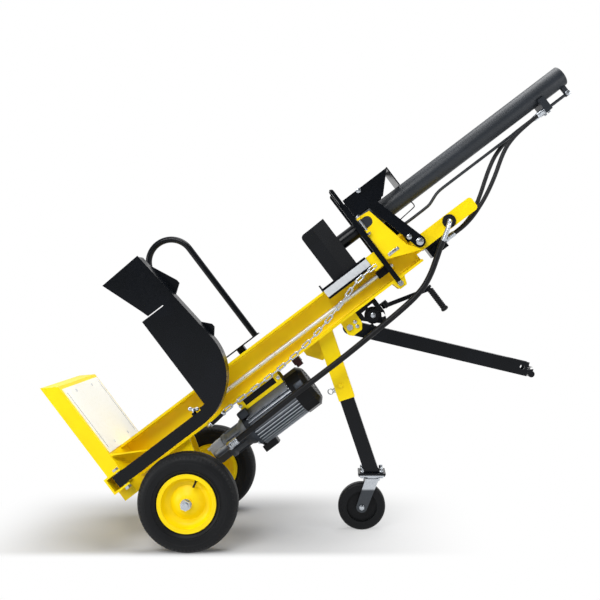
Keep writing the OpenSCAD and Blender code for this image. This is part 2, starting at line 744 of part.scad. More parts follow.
// Head: cheeks, guard plates, levers and stops
module cheek_outline() difference() {
  polygon([[head_u, cyl_f + 38], [head_u + 64, cyl_f + 30], [head_u + 104, -52], [head_u + 146, -111],
    [head_u, -53]]);
  translate([trunnion_u, cyl_f]) circle(trunnion_d / 2 + 0.5);
  translate([head_u - 1, cyl_f - trunnion_d / 2 - 0.5])
    square([trunnion_u - head_u + 1, trunnion_d + 1]);
}
module head_cheeks() color(YELLOW) mast() both_sides() difference() {
  union() {
    across(cheek_y, cheek_y + cheek_t) cheek_outline();
    for (f = [cyl_f + 24, cyl_f - keeper_reach]) translate([head_u, cheek_y + cheek_t - 1, f])
      cube([14, keeper_y + keeper_d - cheek_y - cheek_t - 2, 10]);
  }
  translate([head_u + 7, keeper_y, 0]) rod_f(keeper_d / 2 + seat_fit, 0, 2 * cyl_f);
}
module keeper_bolts() color(ZINC) mast() both_sides() translate([head_u + 7, keeper_y, 0]) {
  rod_f(keeper_d / 2, cyl_f - keeper_reach - 10, cyl_f + 35);
  hex_f(keeper_hex, cyl_f + 34, cyl_f + 42);
  hex_f(keeper_hex, cyl_f - keeper_reach - 8, cyl_f - keeper_reach);
}
module guard_outline() {
  lobe = [lobe_u, lobe_f];
  polygon([[head_u, guard_low], [head_u, guard_low + guard_h], [head_u + guard_l, guard_low + guard_h],
    [head_u + 146, guard_low]]);
  polygon([[strap_u, guard_low + 1], [strap_u + strap_w, guard_low + 1], lobe + [23, 7], lobe - [23, 7]]);
  translate(lobe) circle(24);
}
module guard_plates() color(BLACK) mast() {
  both_sides() difference() {
    union() {
      across(lever_y, lever_y + guard_t) guard_outline();
      translate([lobe_u, 0, lobe_f]) rod_y(12, half_w, lever_y + 1);
    }
    translate([lobe_u, 0, lobe_f]) rod_y(5, 0, beam_w);
  }
  difference() {
    translate([head_u + guard_l - 4, -lever_y - 1, guard_low - 4])
      cube([guard_t, 2 * lever_y + 2, guard_h + 6]);
    translate([0, 0, cyl_f]) rod_u(cyl_od / 2 + seat_fit, head_u, head_u + 300);
  }
}
module stop_blocks() color(YELLOW) mast() {
  both_sides() translate([car_u + car_l + 2, half_w, -65])
    cube([lever_u - car_u - car_l - 2, lever_y - half_w - pass_gap, 70]);
  translate([chain_line[0][0] - hook_r, 0, hook_f]) {
    rod_y(hook_r, chain_y - 6, -half_w - 4);
    rod_y(2 * hook_r, chain_y - 10, chain_y - 6);
  }
  keeper = on_line(chain_line, chain_links * chain_step - hook_r);
  translate([keeper[0], 0, keeper[1]]) rod_y(hook_r, chain_y - 8, -half_w);
}
module lever_pin() translate([lever_u + lever_w / 2, 0, lever_pin_f]) children();
module lever_ears() color(YELLOW) mast() both_sides() difference() {
  across(half_w - 15, half_w) polygon([[lever_u - 14, back_f], [lever_u + lever_w + 24, back_f],
    [lever_u + lever_w + 10, lever_pin_f - 20], [lever_u - 4, lever_pin_f - 20]]);
  lever_pin() rod_y(lever_pin_d / 2 + seat_fit, 0, beam_w);
}
module control_lever(side) color(BLACK) mast() mirror([0, side > 0 ? 0 : 1, 0]) {
  r = lever_w / 2;
  difference() {
    across(lever_y, lever_y + lever_t) {
      translate([lever_u, lever_pin_f]) square([lever_w, lever_f - lever_pin_f - r]);
      translate([lever_u + r, lever_pin_f]) circle(r);
      translate([lever_u + r, lever_f - r]) circle(r);
    }
    lever_pin() rod_y(lever_pin_d / 2 + run_fit, 0, beam_w);
  }
  translate([lever_u + 4, lever_y + lever_t - 1, lever_f - 4 - hand_plate[2]]) cube(hand_plate);
}
module control_lever_near() control_lever(-1);
module control_lever_far() control_lever(1);
module stroke_line() translate([0, stroke_y, stroke_f]) children();
module stroke_rod() color(ZINC) mast() stroke_line() difference() {
  rod_u(stroke_r, stroke_foot, stroke_top);
  for (u = [560 : 80 : 1280]) translate([u, 0, 0]) rod_y(3, -2 * stroke_r, 2 * stroke_r);
}
module rod_guides() color(BLACK) mast() difference() {
  half = stroke_r + 6;
  for (u = [[stroke_foot + 34, stroke_foot + 48], [stroke_top - 80, stroke_top - 24]])
    translate([u[0], stroke_y - half, stroke_f - half])
      cube([u[1] - u[0], half - stroke_y - web_t / 2, 2 * half]);
  stroke_line() rod_u(stroke_r + run_fit, stroke_foot, stroke_top);
}
module pivot_bolts() color(ZINC) mast() {
  hinge_line() {
    rod_f(hinge_d / 2, -lift_back - ear_gap - ear_t - 12, ear_gap - lift_front + ear_t + bolt_head_h);
    hex_f(24, ear_gap - lift_front + ear_t, ear_gap - lift_front + ear_t + bolt_head_h);
    hex_f(24, -lift_back - ear_gap - ear_t - 12, -lift_back - ear_gap - ear_t);
  }
  lever_pin() both_sides() {
    rod_y(lever_pin_d / 2, half_w - 16, lever_y + lever_t + 12);
    hex_y(22, lever_y + lever_t + pass_gap / 2, lever_y + lever_t + 10);
  }
  translate([tow_u, 0, tow_f]) {
    reach = tow_w / 2 + tow_gap + tow_plate_t;
    rod_y(tow_bolt_d / 2, -reach - 10, reach + 12);
    hex_y(24, -reach - 10, -reach);
    hex_y(24, reach, reach + 12);
  }
}

// Valve, top cover and hoses
module top_cover() color(YELLOW) mast() {
  t = cover_t;
  high = cover_low + cover_h;
  both_sides() difference() {
    across(half_w - t, half_w) polygon([[beam_top, cover_low], [cover_top - 12, cover_low],
      [cover_top - 4, cover_low + 4], [cover_top, cover_low + 12], [cover_top, high - 12],
      [cover_top - 4, high - 4], [cover_top - 12, high], [beam_top, high]]);
    translate([grommet_u, 0, grommet_f]) rod_y(grommet_r, 0, beam_w);
  }
  translate([beam_top, 1 - half_w, high - t]) cube([cover_top - beam_top - cover_h / 2, beam_w - 2, t]);
  translate([beam_top, 1 - half_w, cover_low]) cube([t, beam_w - 2, cover_h]);
}
module pipe_grommet() color(RUBBER) mast() translate([grommet_u, 0, grommet_f]) rotate([90, 0, 0])
  translate([0, 0, half_w - 8]) rotate_extrude() {
    inner = elbow_d / 2 + 0.5;
    translate([inner, 0]) square([grommet_r - 0.2 - inner, 12]);
    translate([inner, 8.2]) square([18, 4.5]);
  }
module pressure_elbow() color(ZINC) mast()
  swept_tube(concat([for (y = [-40, -60, -88]) [grommet_u, y, grommet_f]], elbow_bend), elbow_d, 2, 12,
    [-18, 0, 30]);
module valve_body() color(BLACK) mast() {
  plate_t = 6;
  low = cover_low - plate_t;
  translate([valve_u - 7, -half_w, low]) cube([valve_l + 8, beam_w, plate_t]);
  translate([valve_u, -valve_w / 2, low - valve_h + 1]) cube([valve_l, valve_w, valve_h]);
  for (y = [near_hose_y, far_hose_y]) translate([valve_u + valve_l - 1, y, valve_port_f]) rod_u(11, 0, 17);
  translate([valve_u + valve_l / 3, 0, low - 20]) rod_y(13, -valve_w / 2 - 18, valve_w / 2 + 18);
}
module pressure_hose() color(RUBBER) mast() swept_tube(pressure_route, hose_d, 2, 12);
module upper_hose_near() color(RUBBER) mast() swept_tube(near_route, small_hose_d, 2, 10);
module upper_hose_far() color(RUBBER) mast() swept_tube(far_route, small_hose_d, 2, 10);

// Chain: alternate links stand square to each other along the hanging line
chain_step = chain_pitch - 0.6;
chain_links = 25;
function span(p, i) = norm(p[i + 1] - p[i]);
function on_line(p, s, i = 0) = i >= len(p) - 2 || s <= span(p, i)
  ? p[i] + (p[i + 1] - p[i]) * s / span(p, i) : on_line(p, s - span(p, i), i + 1);
module chain_link() {
  bend = chain_wire * 1.1;
  straight = chain_pitch - 2 * bend + chain_wire;
  for (s = [0, 180]) rotate([0, 0, s]) {
    translate([straight / 2, 0, 0]) rotate([0, 0, -90]) rotate_extrude(angle = 180, $fn = 32)
      translate([bend, 0]) circle(chain_wire / 2, $fn = 24);
    translate([-straight / 2, bend, 0]) rotate([0, 90, 0])
      cylinder(r = chain_wire / 2, h = straight, $fn = 24);
  }
}
module lift_chain() color(ZINC) mast() {
  for (i = [0 : chain_links - 1]) {
    a = on_line(chain_line, i * chain_step);
    b = on_line(chain_line, (i + 1) * chain_step);
    middle = (a + b) / 2;
    translate([middle[0], chain_y, middle[1]]) rotate([0, -atan2(b[1] - a[1], b[0] - a[0]), 0])
      rotate([i % 2 == 0 ? 90 : 0, 0, 0]) chain_link();
  }
}

// Motor and pump
module at_motor() mast() translate([0, 0, motor_f]) children();
module motor_rail() color(YELLOW) mast() both_sides() {
  y = 48;
  low = motor_f + sqrt(pow(motor_d / 2 + seat_fit, 2) - y * y);
  across(y, y + 8) difference() {
    translate([motor_u + 5, low]) square([motor_l - 10, back_f - low]);
    translate([motor_u + 30, low + rail_t]) square([motor_l - 60, back_f - low - rail_t - 8]);
  }
}
module motor_housing() color(ALLOY) at_motor() along(motor_u, motor_u + motor_l) {
  circle(motor_d / 2 - fin_h);
  fin_t = 3.2;
  for (a = [0 : 360 / fins : 359]) rotate(a) translate([motor_d / 2 - fin_h - 2, -fin_t / 2])
    square([fin_h + 2, fin_t]);
}
module motor_flange() color(ALLOY) at_motor() {
  rod_u(motor_d / 2 - 2, motor_u - 14, motor_u);
  rod_u(motor_d / 2 - 18, motor_u - spigot_l, motor_u - 13);
  for (a = [45 : 90 : 315]) rotate([a, 0, 0]) translate([0, motor_d / 2 - 6, 0])
    rod_u(11, motor_u - 14, motor_u);
}
module fan_cover() color(BLACK) at_motor() {
  r = motor_d / 2 + 5;
  tail = motor_u + motor_l;
  difference() {
    union() {
      translate([tail, 0, 0]) rotate([0, 90, 0]) cylinder(r = r, h = fan_l - 18, $fn = 12);
      translate([tail + fan_l - 19, 0, 0]) rotate([0, 90, 0]) cylinder(r1 = r, r2 = r - 20, h = 19);
    }
    for (k = [22 : 14 : r - 26]) difference() {
      rod_u(k + 7, tail + fan_l - 4, tail + fan_l + 1);
      rod_u(k, tail + fan_l - 5, tail + fan_l + 2);
    }
    translate([tail + 22, -r - 1, 14]) cube([36, 5, 36]);
  }
}
module terminal_box() color("#3a3d41") at_motor() difference() {
  edge = 8;
  translate([motor_u - spigot_l + edge, edge - 32, -motor_d / 2 - 24]) linear_extrude(56)
    offset(edge) square([68 - 2 * edge, 64 - 2 * edge]);
  rod_u(motor_d / 2 + seat_fit, motor_u - 2 * spigot_l, motor_u + motor_l);
  for (a = [45 : 90 : 315]) rotate([a, 0, 0]) translate([0, motor_d / 2 - 6, 0])
    rod_u(11 + seat_fit, motor_u - 2 * spigot_l, motor_u + 1);
}
module pump_bell() color("#54585d") at_motor() {
  rotate([0, 90, 0]) translate([0, 0, pump_u]) rotate_extrude()
    polygon([[0, 0], [bell_foot_r, 0], [bell_foot_r, 16], [bell_neck_r, 26], [bell_neck_r, bell_l - 42],
      [bell_mouth_r - 4, bell_l - 16], [bell_mouth_r, bell_l], [0, bell_l]]);
  for (a = [0 : 60 : 300]) rotate([a, 0, 0]) translate([pump_u + 5, -4, bell_neck_r - 7])
    cube([bell_l - 15, 8, 15]);
}
module gear_pump() color(ALLOY) at_motor() {
  translate([pump_u - 48, -46, -40]) cube([48, 92, 88]);
  translate([pump_u - 62, -40, -34]) cube([15, 80, 76]);
  for (f = [-32, 40], y = [-36, 36]) translate([0, y, f]) rod_u(6, pump_u - 68, pump_u - 20);
  translate([pump_u - 24, 0, 6]) {
    rod_y(12, -116, -45);
    translate([0, -116, 0]) sphere(13);
    translate([0, -116, 0]) rod_u(13, 0, 66);
  }
}
module power_inlet() color("#2a1214") mast() {
  inlet_u = 838;
  inlet_h = 26;
  translate([inlet_u, -46, back_f - inlet_h]) cube([34, 42, inlet_h]);
  translate([inlet_u + 17, -25, 0]) rod_f(15, back_f - inlet_h - 14, back_f - inlet_h + 1);
}

// Leg and castor
module below(z) translate([-3000, -3000, z - 6000]) cube(6000);
module behind_beam() mast() translate([-3000, -3000, back_f]) cube(6000);
module clamp_hole() leg_frame() translate([0, 0, 48 - sleeve_l]) children();
module leg_sleeve() color(YELLOW) {
  difference() {
    leg_frame() translate([0, 0, -sleeve_l]) linear_extrude(sleeve_l + 80) square_tube(sleeve_w, leg_wall);
    behind_beam();
    clamp_hole() rotate([0, -90, 0]) cylinder(r = 6 + seat_fit, h = sleeve_w);
  }
  mast() across(-5, 5) {
    side = sleeve_w / 2 / cos(mast_tilt - leg_lean);
    lean = tan(mast_tilt - leg_lean);
    root = leg_u - side + 2;
    polygon([[root - 82, back_f], [root, back_f], [root - 80 * lean, back_f - 80],
      [root - 14 - 80 * lean, back_f - 80], [root - 82, back_f - 22]]);
  }
}
module leg_clamp() color(ZINC) clamp_hole() rotate([0, -90, 0]) {
  tip = leg_w / 2 + 0.3;
  ring_r = 11;
  translate([0, 0, tip]) cylinder(r = 6, h = sleeve_w / 2 + 12 - tip);
  translate([0, 0, sleeve_w / 2]) cylinder(r = 11, h = 9, $fn = 6);
  translate([0, 0, sleeve_w / 2 + ring_r + 11]) rotate([90, 0, 0]) rotate_extrude()
    translate([ring_r, 0]) circle(2.5);
}
module leg_tube() color(BLACK) {
  difference() {
    leg_frame() translate([0, 0, -leg_l - 60]) linear_extrude(leg_l + 60 - 30) square_tube(leg_w, leg_wall);
    below(foot_z - 1);
  }
  translate([foot_x - 58, -50, caster_h]) cube([116, 100, foot_t]);
  translate([foot_x - 55, -47, caster_h - 6]) cube([110, 94, 7]);
  translate([foot_x, 0, 0]) {
    translate([0, 0, caster_h - 18]) cylinder(r = 34, h = 13);
    translate([0, 0, caster_h - 34]) cylinder(r = 9, h = 30);
  }
  for (x = [-40, 40], y = [-34, 34]) translate([foot_x + x, y, caster_h - 13])
    cylinder(r = 8, h = foot_t + 30, $fn = 6);
}
module caster_axle() translate([foot_x - caster_trail, 0, caster_od / 2]) children();
module caster_fork() color(ZINC) {
  top = caster_h - 18.4;
  arm_y = caster_w / 2 + 4;
  arm_t = 4;
  crown = 26;
  foot_r = 23;
  difference() {
    union() {
      translate([foot_x, 0, top - 12]) cylinder(r = 36, h = 12);
      translate([foot_x - crown, -arm_y - arm_t, top - 12]) cube([2 * crown, 2 * arm_y + 2 * arm_t, 12]);
      both_sides() across(arm_y, arm_y + arm_t) hull() {
        translate([foot_x - crown, top - 12]) square([2 * crown, 12]);
        translate([foot_x - caster_trail, caster_od / 2]) circle(foot_r);
      }
    }
    translate([foot_x, 0, top - 20]) cylinder(r = 9 + run_fit, h = 40);
  }
  caster_axle() {
    rod_y(6, -arm_y - arm_t - 9, arm_y + arm_t + 9);
    both_sides() hex_y(19, arm_y + arm_t - 0.5, arm_y + arm_t + 7);
  }
}
module caster_wheel() color(RUBBER) caster_axle() rotate([-90, 0, 0]) rotate_extrude($fn = 128) {
  r = caster_od / 2;
  half = caster_w / 2;
  edge = 14;
  translate([r - 36, -half]) square([36 - edge, caster_w]);
  translate([r - 36, edge - half]) square([36, caster_w - 2 * edge]);
  for (s = [-1, 1]) translate([r - edge, s * (half - edge)]) circle(edge);
  translate([20, -9]) square([r - 54, 18]);
  translate([6 + run_fit, -half - 3.5]) square([18, caster_w + 7]);
}

// Tow bar, its bracket and the winch
module tow_bracket() color(YELLOW) mast() both_sides() difference() {
  y = tow_w / 2 + tow_gap;
  across(y, y + tow_plate_t) polygon([[tow_u - 20, back_f], [tow_u + 56, back_f], [tow_u + 54, tow_f - 14],
    [tow_u + 36, tow_f - 38], [tow_u - 10, tow_f - 38], [tow_u - 24, tow_f - 22]]);
  translate([tow_u, 0, tow_f]) rod_y(tow_bolt_d / 2 + seat_fit, 0, beam_w);
  for (a = [28, -10]) translate([tow_u, 0, tow_f]) rotate([0, a, 0]) translate([32, 0, 0])
    rod_y(5, 0, beam_w);
}
module tow_bar() color(BLACK) tow_frame() difference() {
  half = tow_w / 2;
  nose = tow_l - 60;
  union() {
    along(0, nose) square_tube(tow_w, tow_wall);
    rod_y(half, -half, half);
    both_sides() across(half - tow_plate_t, half) {
      translate([nose - 60, -half]) square([tow_l - nose + 86, tow_w]);
      translate([tow_l + 26, -half + 16]) square([22, tow_w - 32]);
    }
    translate([tow_l + 44, 0, -half + 14]) rod_y(14, -half, half);
  }
  rod_y(tow_bolt_d / 2 + run_fit, -tow_w, tow_w);
  translate([tow_l, 0, 4]) rod_y(tow_eye_d / 2, -tow_w, tow_w);
  across(-tow_w, tow_w) polygon([[tow_l + 22, -2], [tow_l + 60, 10], [tow_l + 60, 20], [tow_l + 22, 6]]);
}
module winch_outline() polygon([[winch_u, back_f], [winch_end, back_f], [winch_end, hub_f - 16],
  [winch_end - 14, back_f - 104], [winch_u + 74, back_f - 106], [winch_u, back_f - 33]]);
module winch_frame() color(BLACK) mast() {
  drum = [winch_u + 66, back_f - 56];
  both_sides() across(winch_half - winch_t, winch_half) difference() {
    winch_outline();
    translate(drum + [26, -34]) square([16, 28]);
    translate(drum + [-34, 14]) square([20, 22]);
    translate(drum + [2, 16]) square([26, 26]);
  }
  translate([winch_u, -winch_half, back_f - 6]) cube([winch_end - winch_u, 2 * winch_half, 6]);
  translate([drum[0], 0, drum[1]]) {
    rod_y(12, -winch_half - 6, winch_half + 6);
    both_sides() rod_y(22, winch_half - 10, winch_half - 2);
  }
  translate([winch_end - 8, -winch_half, hub_f + 10]) cube([hub_u + 22 - winch_end, 2 * winch_half, 8]);
  translate([hub_u, 0, 0]) rod_f(7, hub_f - 14, hub_f + 12);
}
module winch_lever() color(BLACK) mast() translate([hub_u, 0, hub_f]) difference() {
  union() {
    translate([0, 0, -10]) cylinder(r = 16, h = 19.5);
    rotate([0, arm_tilt, 0]) translate([0, -5, -12]) cube([winch_arm, 10, 18]);
    translate([winch_arm * cos(arm_tilt), 0, -winch_arm * sin(arm_tilt)]) {
      translate([0, 0, -grip_l - 4]) cylinder(r = 7, h = grip_l + 10);
      translate([0, 0, -grip_l - 6]) rotate_extrude() {
        square([grip_d / 2 - 2, grip_l]);
        for (z = [6 : 9 : grip_l - 6]) translate([grip_d / 2 - 5, z]) circle(5, $fn = 24);
      }
      cylinder(r = 13, h = 10);
    }
  }
  translate([0, 0, -30]) cylinder(r = 7 + run_fit, h = 60);
}

beam();
base_pan();
wear_plate();
axle();
axle_brackets();
axle_nuts();
lifter_ears();
pivot_bolts();
hoop_guard();
head_cheeks();
guard_plates();
barrel();
gland();
end_cap();
keeper_bolts();
top_cover();
valve_body();
pipe_grommet();
pressure_elbow();
steel_pipe();
pressure_hose();
upper_hose_near();
upper_hose_far();
port_block();
stop_blocks();
lever_ears();
rod_guides();
motor_rail();
motor_housing();
motor_flange();
fan_cover();
terminal_box();
pump_bell();
gear_pump();
power_inlet();
leg_sleeve();
leg_clamp();
tow_bracket();
winch_frame();
lift_chain();
wedge();
carriage_plate();
gib_bars();
keeper_plates();
piston_rod();
piston();
lifter_bar();
lifter_plate();
tyre_near();
rim_near();
tyre_far();
rim_far();
leg_tube();
caster_fork();
caster_wheel();
tow_bar();
winch_lever();
control_lever_near();
control_lever_far();
stroke_rod();
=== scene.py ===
# %% [markdown]
# # Log splitter
# An upright hydraulic log splitter, tipped back on its two road wheels and a swivel castor, as it is
# wheeled about a yard. Its frame comes from CAD: every steel piece has its real size and place there.
# This lesson dresses that frame. It adds the camera, the hoses, the finishes and the small parts that
# a fitter would know: tread, valve stems, welds, screws and fittings.

# %% Load the frame
from math import atan2, copysign, cos, pi, radians, sin, sqrt

import bpy
from mathutils import Matrix, Vector


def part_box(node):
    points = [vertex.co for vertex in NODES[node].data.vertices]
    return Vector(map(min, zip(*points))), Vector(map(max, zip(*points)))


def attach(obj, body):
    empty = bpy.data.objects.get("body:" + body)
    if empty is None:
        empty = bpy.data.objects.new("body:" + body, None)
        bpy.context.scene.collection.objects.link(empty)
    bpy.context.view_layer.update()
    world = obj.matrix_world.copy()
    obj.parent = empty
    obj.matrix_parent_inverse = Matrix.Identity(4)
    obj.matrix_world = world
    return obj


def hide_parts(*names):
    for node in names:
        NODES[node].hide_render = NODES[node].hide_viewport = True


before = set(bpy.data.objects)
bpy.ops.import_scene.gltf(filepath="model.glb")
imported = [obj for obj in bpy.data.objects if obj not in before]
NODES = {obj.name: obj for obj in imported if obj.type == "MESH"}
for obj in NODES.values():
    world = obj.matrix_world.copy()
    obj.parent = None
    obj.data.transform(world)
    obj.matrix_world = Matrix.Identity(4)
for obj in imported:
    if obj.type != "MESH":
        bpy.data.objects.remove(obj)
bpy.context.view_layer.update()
MM = 0.001

# %% [markdown]
# ## Where things are
# The mast leans at 37.2 degrees, and nearly everything hangs on it. So places are given the way a
# fitter would measure them: how far up the mast, how far across it, and how far out of its front face.
# One function turns such a place into the floor's frame, in metres.

# %% The mast's own directions
MAST_LEAN = radians(37.2)
UP_MAST = Vector((cos(MAST_LEAN), 0, sin(MAST_LEAN)))
OUT_FRONT = Vector((-sin(MAST_LEAN), 0, cos(MAST_LEAN)))
NEAR, FAR = Vector((0, -1, 0)), Vector((0, 1, 0))
SIDES = ((-1, NEAR), (1, FAR))
AXLE = Vector((-0.483904, 0, 0.195))
AXLE_UP, AXLE_BACK = 0.217, 0.335
MAST_FOOT = AXLE - AXLE_UP * UP_MAST + AXLE_BACK * OUT_FRONT
MAST_TURN = Matrix((UP_MAST, FAR, OUT_FRONT)).transposed().to_4x4()
MAST_PLACE = Matrix.Translation(MAST_FOOT) @ MAST_TURN


def on_mast(up, across, out):
    """A place on the mast, from millimetres up it, across it and out of its front face."""
    return MAST_PLACE @ Vector((up * MM, across * MM, out * MM))


print("mast foot:", [round(x, 4) for x in MAST_FOOT])

# %% [markdown]
# ## The camera
# The photograph was taken from the near side, square to the mast's plane and from about three metres,
# at the height of the winch. The lens and shift put the object where the photograph's frame has it.

# %% Place the camera
def add_to_scene(thing):
    bpy.context.scene.collection.objects.link(thing)


camera_data = bpy.data.cameras.new("camera")
camera_data.lens = 45.9
camera_data.sensor_width = 36
camera_data.shift_x = -0.075
camera_data.shift_y = -0.02
camera = bpy.data.objects.new("camera", camera_data)
camera.location = (0.1233, -3.25, 1.0225)
camera.rotation_euler = (radians(90), 0, 0)
add_to_scene(camera)
bpy.context.scene.camera = camera
print("camera at", tuple(round(x, 3) for x in camera.location))

# %% [markdown]
# ## Colours and nodes
# Colours are written as the sRGB hex values that a paint maker would give, and one function makes them
# linear for the shader. One small function adds a node, sets its values and links its inputs, and every
# finish below is built with it. Two things come back in most finishes: colour that drifts in patches of
# a real size, and fine relief over edges that are a little round.


# %% Colour and node helpers
def linear(code):
    """An sRGB hex value as a linear colour with alpha."""
    parts = [int(code[i : i + 2], 16) / 255 for i in (1, 3, 5)]
    return [p / 12.92 if p <= 0.04045 else ((p + 0.055) / 1.055) ** 2.4 for p in parts] + [1.0]


def add_node(tree, kind, inputs=None, **settings):
    """Adds a node; an input that is a socket is linked, and any other is set."""
    made = tree.nodes.new("ShaderNode" + kind)
    for name, value in settings.items():
        setattr(made, name, value)
    for name, value in (inputs or {}).items():
        if isinstance(value, bpy.types.NodeSocket):
            tree.links.new(value, made.inputs[name])
        else:
            made.inputs[name].default_value = value
    return made


def per_mm(size):
    """A noise scale that gives features of about this many millimetres."""
    return 1000 / size


def blank_finish(name, settings):
    """A material with only its output and shader, with its even settings, and the object's own coordinates."""
    finish = bpy.data.materials.new(name)
    finish.use_nodes = True
    tree = finish.node_tree
    tree.nodes.clear()
    shader = add_node(tree, "BsdfPrincipled", settings)
    add_node(tree, "OutputMaterial", {"Surface": shader.outputs[0]})
    place = add_node(tree, "TexCoord").outputs["Object"]
    return finish, tree, shader, place


def skin(tree, shader, place, size_mm, detail, colours, gloss=None, ramp=None):
    """Colour in patches of a size, and the gloss that goes with it. A ramp gives the patches edges."""
    noise = {"Vector": place, "Scale": per_mm(size_mm), "Detail": detail}
    factor = add_node(tree, "TexNoise", noise).outputs["Fac"]
    if gloss:
        spread = {"Value": factor, "To Min": gloss[0], "To Max": gloss[1]}
        rough = add_node(tree, "MapRange", spread)
        tree.links.new(rough.outputs["Result"], shader.inputs["Roughness"])
    if ramp:
        steps = add_node(tree, "ValToRGB", {"Fac": factor})
        for element, position in zip(steps.color_ramp.elements, ramp):
            element.position = position
        factor = steps.outputs["Color"]
    first, second = (linear(colour) for colour in colours)
    tone = add_node(tree, "Mix", {"Factor": factor, "A": first, "B": second}, data_type="RGBA")
    tree.links.new(tone.outputs["Result"], shader.inputs["Base Color"])
    return tone.outputs["Result"]


def relief(tree, shader, place, size_mm, detail, depth, high_mm, round_mm):
    """A grain of a size and height, over edges that are rounded by so many millimetres."""
    noise = {"Vector": place, "Scale": per_mm(size_mm), "Detail": detail}
    grain = add_node(tree, "TexNoise", noise).outputs["Fac"]
    edge = add_node(tree, "Bevel", {"Radius": round_mm * MM}, samples=4).outputs[0]
    ripple = {"Height": grain, "Strength": depth, "Distance": high_mm * MM, "Normal": edge}
    bump = add_node(tree, "Bump", ripple)
    tree.links.new(bump.outputs[0], shader.inputs["Normal"])


print("white is", linear("#ffffff")[:3])

# %% [markdown]
# ## Powder coat
# The frame is sheet and section steel under a thick powder coat: polyester, baked on. It flows as it
# cures, so it has a fine orange peel of about 2 mm, a satin gloss and no grain. Edges are rounded by
# the coat, which a Bevel node gives. Faint dust and rubbing vary the colour and gloss over a hand's width.
# The ram is sprayed with a thinner enamel, which lies flatter and greyer.


# %% Powder coat, yellow and black
HAND_MM, SPECK_MM, PEEL_MM = 120, 9, 2


def powder_coat(name, colour, rubbed, gloss, sheen, peel=0.05, round_mm=1.2):
    """Baked polyester paint: colour, tone of rubbed patches, roughness, specular level and peel."""
    finish, tree, shader, place = blank_finish(name, {"IOR": 1.5, "Specular IOR Level": sheen})
    skin(tree, shader, place, HAND_MM, 6.0, (colour, rubbed), ramp=(0.42, 0.78))
    specks = add_node(tree, "TexNoise", {"Vector": place, "Scale": per_mm(SPECK_MM), "Detail": 4.0})
    spread = {"From Min": 0.3, "From Max": 0.75, "To Min": gloss - 0.02, "To Max": gloss + 0.05}
    dull = add_node(tree, "MapRange", {"Value": specks.outputs["Fac"], **spread})
    tree.links.new(dull.outputs["Result"], shader.inputs["Roughness"])
    relief(tree, shader, place, PEEL_MM, 2.0, peel, 0.6, round_mm)
    return finish


YELLOW_COAT = powder_coat("yellow_powder_coat", "#FFE000", "#F8D200", 0.38, 0.25)
BLACK_COAT = powder_coat("black_powder_coat", "#04070C", "#080C13", 0.25, 0.22, 0.01)
RAM_ENAMEL = powder_coat("ram_black_enamel", "#1E2329", "#252A31", 0.42, 0.4, 0.004, 0.3)
print("powder coats:", YELLOW_COAT.name, BLACK_COAT.name, RAM_ENAMEL.name)

# %% [markdown]
# ## Plated and bare metal
# Bolts, the axle, the chain and the castor's fork are zinc plated: bright, faintly blue and clouded in patches
# of a few millimetres. The gibs and the stroke rod are galvanised, which is paler and duller. The piston rod is
# ground steel under hard chrome. The motor and the pump are cast aluminium, whose skin shows the mould's grain
# of about a millimetre.


# %% Zinc, ground steel and castings
def bare_metal(name, colour, cloud, rough, cloud_mm, grain_mm, depth, round_mm=0.6, painted_shade=None, metal=1.0):
    """A metal with clouds in its colour and gloss, a fine grain, and painted shade of a colour where a mask
    says.
    """
    finish, tree, shader, place = blank_finish(name, {"Metallic": metal})
    tone = skin(tree, shader, place, cloud_mm, 5.0, (colour, cloud), (rough - 0.08, rough + 0.12))
    # Painted shade: a darker colour mixed into the metal where the mask says.
    if painted_shade:
        shade_colour, mask = painted_shade
        value, full_at, none_at, most = mask(tree, place)
        spread = {"From Min": full_at, "From Max": none_at, "To Min": most, "To Max": 0.0}
        share = add_node(tree, "MapRange", {"Value": value, **spread}).outputs["Result"]
        mix = {"Factor": share, "A": tone, "B": linear(shade_colour)}
        shaded = add_node(tree, "Mix", mix, data_type="RGBA")
        tree.links.new(shaded.outputs["Result"], shader.inputs["Base Color"])
    relief(tree, shader, place, grain_mm, 3.0, depth, 0.5, round_mm)
    return finish


ZINC = bare_metal("bright_zinc_plate", "#D8DDE3", "#A9B0B8", 0.25, 6, 0.8, 0.05)
GROUND_STEEL = bare_metal("ground_steel", "#C9CCD1", "#AEB2B8", 0.24, 25, 0.5, 0.03)
DARK_CASTING = bare_metal("dark_cast_aluminium", "#83878D", "#696D73", 0.58, 18, 1.4, 0.35, 1.2)
BLACK_CASTING = bare_metal("black_cast_aluminium", "#464A50", "#35393E", 0.42, 18, 1.4, 0.3, 1.2)
PALE_GALVANISED = bare_metal("pale_galvanised_steel", "#E6E9EC", "#D0D5DA", 0.54, 10, 1.0, 0.08)
print("metals:", ZINC.name, GROUND_STEEL.name, DARK_CASTING.name, BLACK_CASTING.name, PALE_GALVANISED.name)

# %% [markdown]
# ## Painted shade and a painted reflection
# Some metals are painted darker where light doesn't reach them. Painted shade lies between the motor's fins,
# which leaves the tips bright and the roots dark. The lower halves of the pump and of its bell are painted in
# shade, and a painted dark reflection
# lies on the lower half of the castor's fork. A mask says where, from a measure on the piece's own coordinates:
# it gives that measure, where the painted shade is full, where it ends, and its share.
# it gives that measure, where the soil is full, where it ends, and its share.


# %% Painted shade between the fins and under the pump, and a painted reflection on the fork
MOTOR_UP, MOTOR_OUT = 655, -278
FIN_ROOT, FIN_TIP = 0.0805, 0.0885
PUMP_SHADE_TOP = on_mast(0, 0, -266).dot(OUT_FRONT)
FORK_REFLECTION_TOP = 0.174


